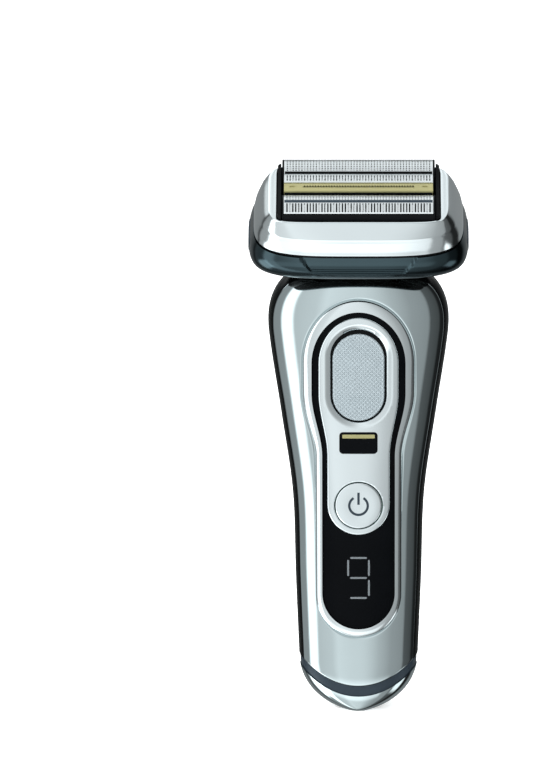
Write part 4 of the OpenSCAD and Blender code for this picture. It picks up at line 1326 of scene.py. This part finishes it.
# Brightness of the studio round the horizon: azimuth in degrees (0 in front, right is positive) and level
HORIZON = [(-180, 0.3), (-136, 0.28), (-126, 0.04), (-116, 0.4), (-84, 0.42), (-76, 2.1), (-54, 2.1)]
HORIZON += [(-48, 0.85), (-22, 0.95), (-14, 1.15), (0, 1.05), (14, 0.72), (32, 0.5), (60, 0.42)]
HORIZON += [(66, 0.14), (92, 0.1), (100, 0.02), (122, 0.02), (134, 0.3), (180, 0.3)]
# Extra soft boxes: azimuth from, to, elevation from, to, added level
SOFT_BOXES = [
    (-55, 35, -50, -27, 0.6),
    (-110, -72, -55, -24, 3.0),
    (70, 100, -50, -28, 1.5),
    (-175, -130, 18, 60, 1.2),
    (140, 175, 22, 60, 0.8),
]
SOFT_EDGE = 4.0


def soft_span(n, value, low, high, level):
    """Two sockets whose product is level between low and high and fades out past them."""
    rise = n.span(value, low - SOFT_EDGE, low + SOFT_EDGE, smooth=True)
    return rise, n.span(value, high - SOFT_EDGE, high + SOFT_EDGE, level, 0.0, smooth=True)


def add_world():
    world = bpy.data.worlds.new("studio")
    bpy.context.scene.world = world
    world.use_nodes = True
    n = Nodes(world.node_tree)
    way = n.add("ShaderNodeSeparateXYZ", {0: n.add("ShaderNodeTexCoord").outputs["Generated"]}).outputs
    azimuth = n.times(n.math("ARCTAN2", way[0], n.times(way[1], -1.0)), 180 / math.pi)
    elevation = n.times(n.math("ARCSINE", way[2]), 180 / math.pi)
    peak = max(level for _, level in HORIZON)
    stops = [((a + 180) / 360, (level / peak,) * 3) for a, level in HORIZON]
    round_horizon = n.ramp(n.span(azimuth, -180, 180), stops)
    below = n.span(elevation, -88, -74, 0.75, 1.0, smooth=True)
    above = n.span(elevation, 50, 66, smooth=True)
    side = n.times(round_horizon, peak, below, n.math("SUBTRACT", 1.0, above))
    total = n.math("ADD", side, n.times(above, 1.1))
    for a0, a1, e0, e1, strength in SOFT_BOXES:
        box_level = n.times(*soft_span(n, azimuth, a0, a1, 1.0), *soft_span(n, elevation, e0, e1, strength))
        total = n.math("ADD", total, box_level)
    tone = n.mix(1.0, (0.95, 0.99, 1.0, 1), total, blend_type="MULTIPLY")
    studio = n.add("ShaderNodeBackground", {"Color": tone})
    plain = n.add("ShaderNodeBackground", {"Color": (1, 1, 1, 1), "Strength": 1.0})
    seen = n.add("ShaderNodeLightPath").outputs["Is Camera Ray"]
    mix = n.add("ShaderNodeMixShader", {0: seen, 1: studio.outputs[0], 2: plain.outputs[0]})
    n.add("ShaderNodeOutputWorld", {"Surface": mix.outputs[0]})


def add_light(name, place, middle, size, power):
    data = bpy.data.lights.new(name, "AREA")
    data.energy = power
    data.shape = "RECTANGLE"
    data.size = data.size_y = size
    light = link(name, data)
    light.location = place
    aim(light, Vector(middle) - Vector(place))
    light.visible_glossy = False


def add_stage():
    low, high = CAD_BOX
    material = bpy.data.materials.new("floor")
    material.use_nodes = True
    n = Nodes(material.node_tree)
    place = n.add("ShaderNodeTexCoord").outputs["Object"]
    tone = n.ramp(n.noise(place, 30.0), [(0.3, (0.93,) * 3), (0.7, (0.95,) * 3)])
    diffuse = n.add("ShaderNodeBsdfDiffuse", {"Color": tone})
    glow = n.add("ShaderNodeEmission", {"Color": (1, 1, 1, 1), "Strength": 0.55})
    both = n.add("ShaderNodeAddShader", {0: diffuse.outputs[0], 1: glow.outputs[0]})
    n.add("ShaderNodeOutputMaterial", {"Surface": both.outputs[0]})
    mesh = bpy.data.meshes.new("floor")
    corners = [(x * 6.0, y * 6.0, low.z) for x, y in ((-1, -1), (1, -1), (1, 1), (-1, 1))]
    mesh.from_pydata(corners, [], [(0, 1, 2, 3)])
    mesh.materials.append(material)
    floor = link("floor", mesh)
    floor.visible_glossy = False
    middle = (0, 0, high.z / 2)
    add_light("key", (-0.7, -0.5, 0.75), middle, 0.5, 9)
    add_light("fill", (0.2, -0.9, 0.4), middle, 0.6, 4)
    add_light("top", (0, 0.1, 0.9), middle, 0.5, 4)
    add_light("back", (0.5, 0.7, 0.5), middle, 0.5, 3)


add_camera()
add_world()
finish_cad_nodes()
add_front_shell()
add_rear_shell()
add_grip()
add_foot()
add_rim()
add_window()
add_panel()
add_thumb_cup()
add_lens()
add_pad()
add_lock_bar()
add_button()
add_digit()
add_head_base()
add_release(-1, "left")
add_release(1, "right")
add_cassette()
add_foils()
add_comb_guard()
add_gold_guard()
add_stage()

scene = bpy.context.scene
scene.view_settings.view_transform = "Standard"
scene.view_settings.look = "None"

bpy.context.view_layer.update()
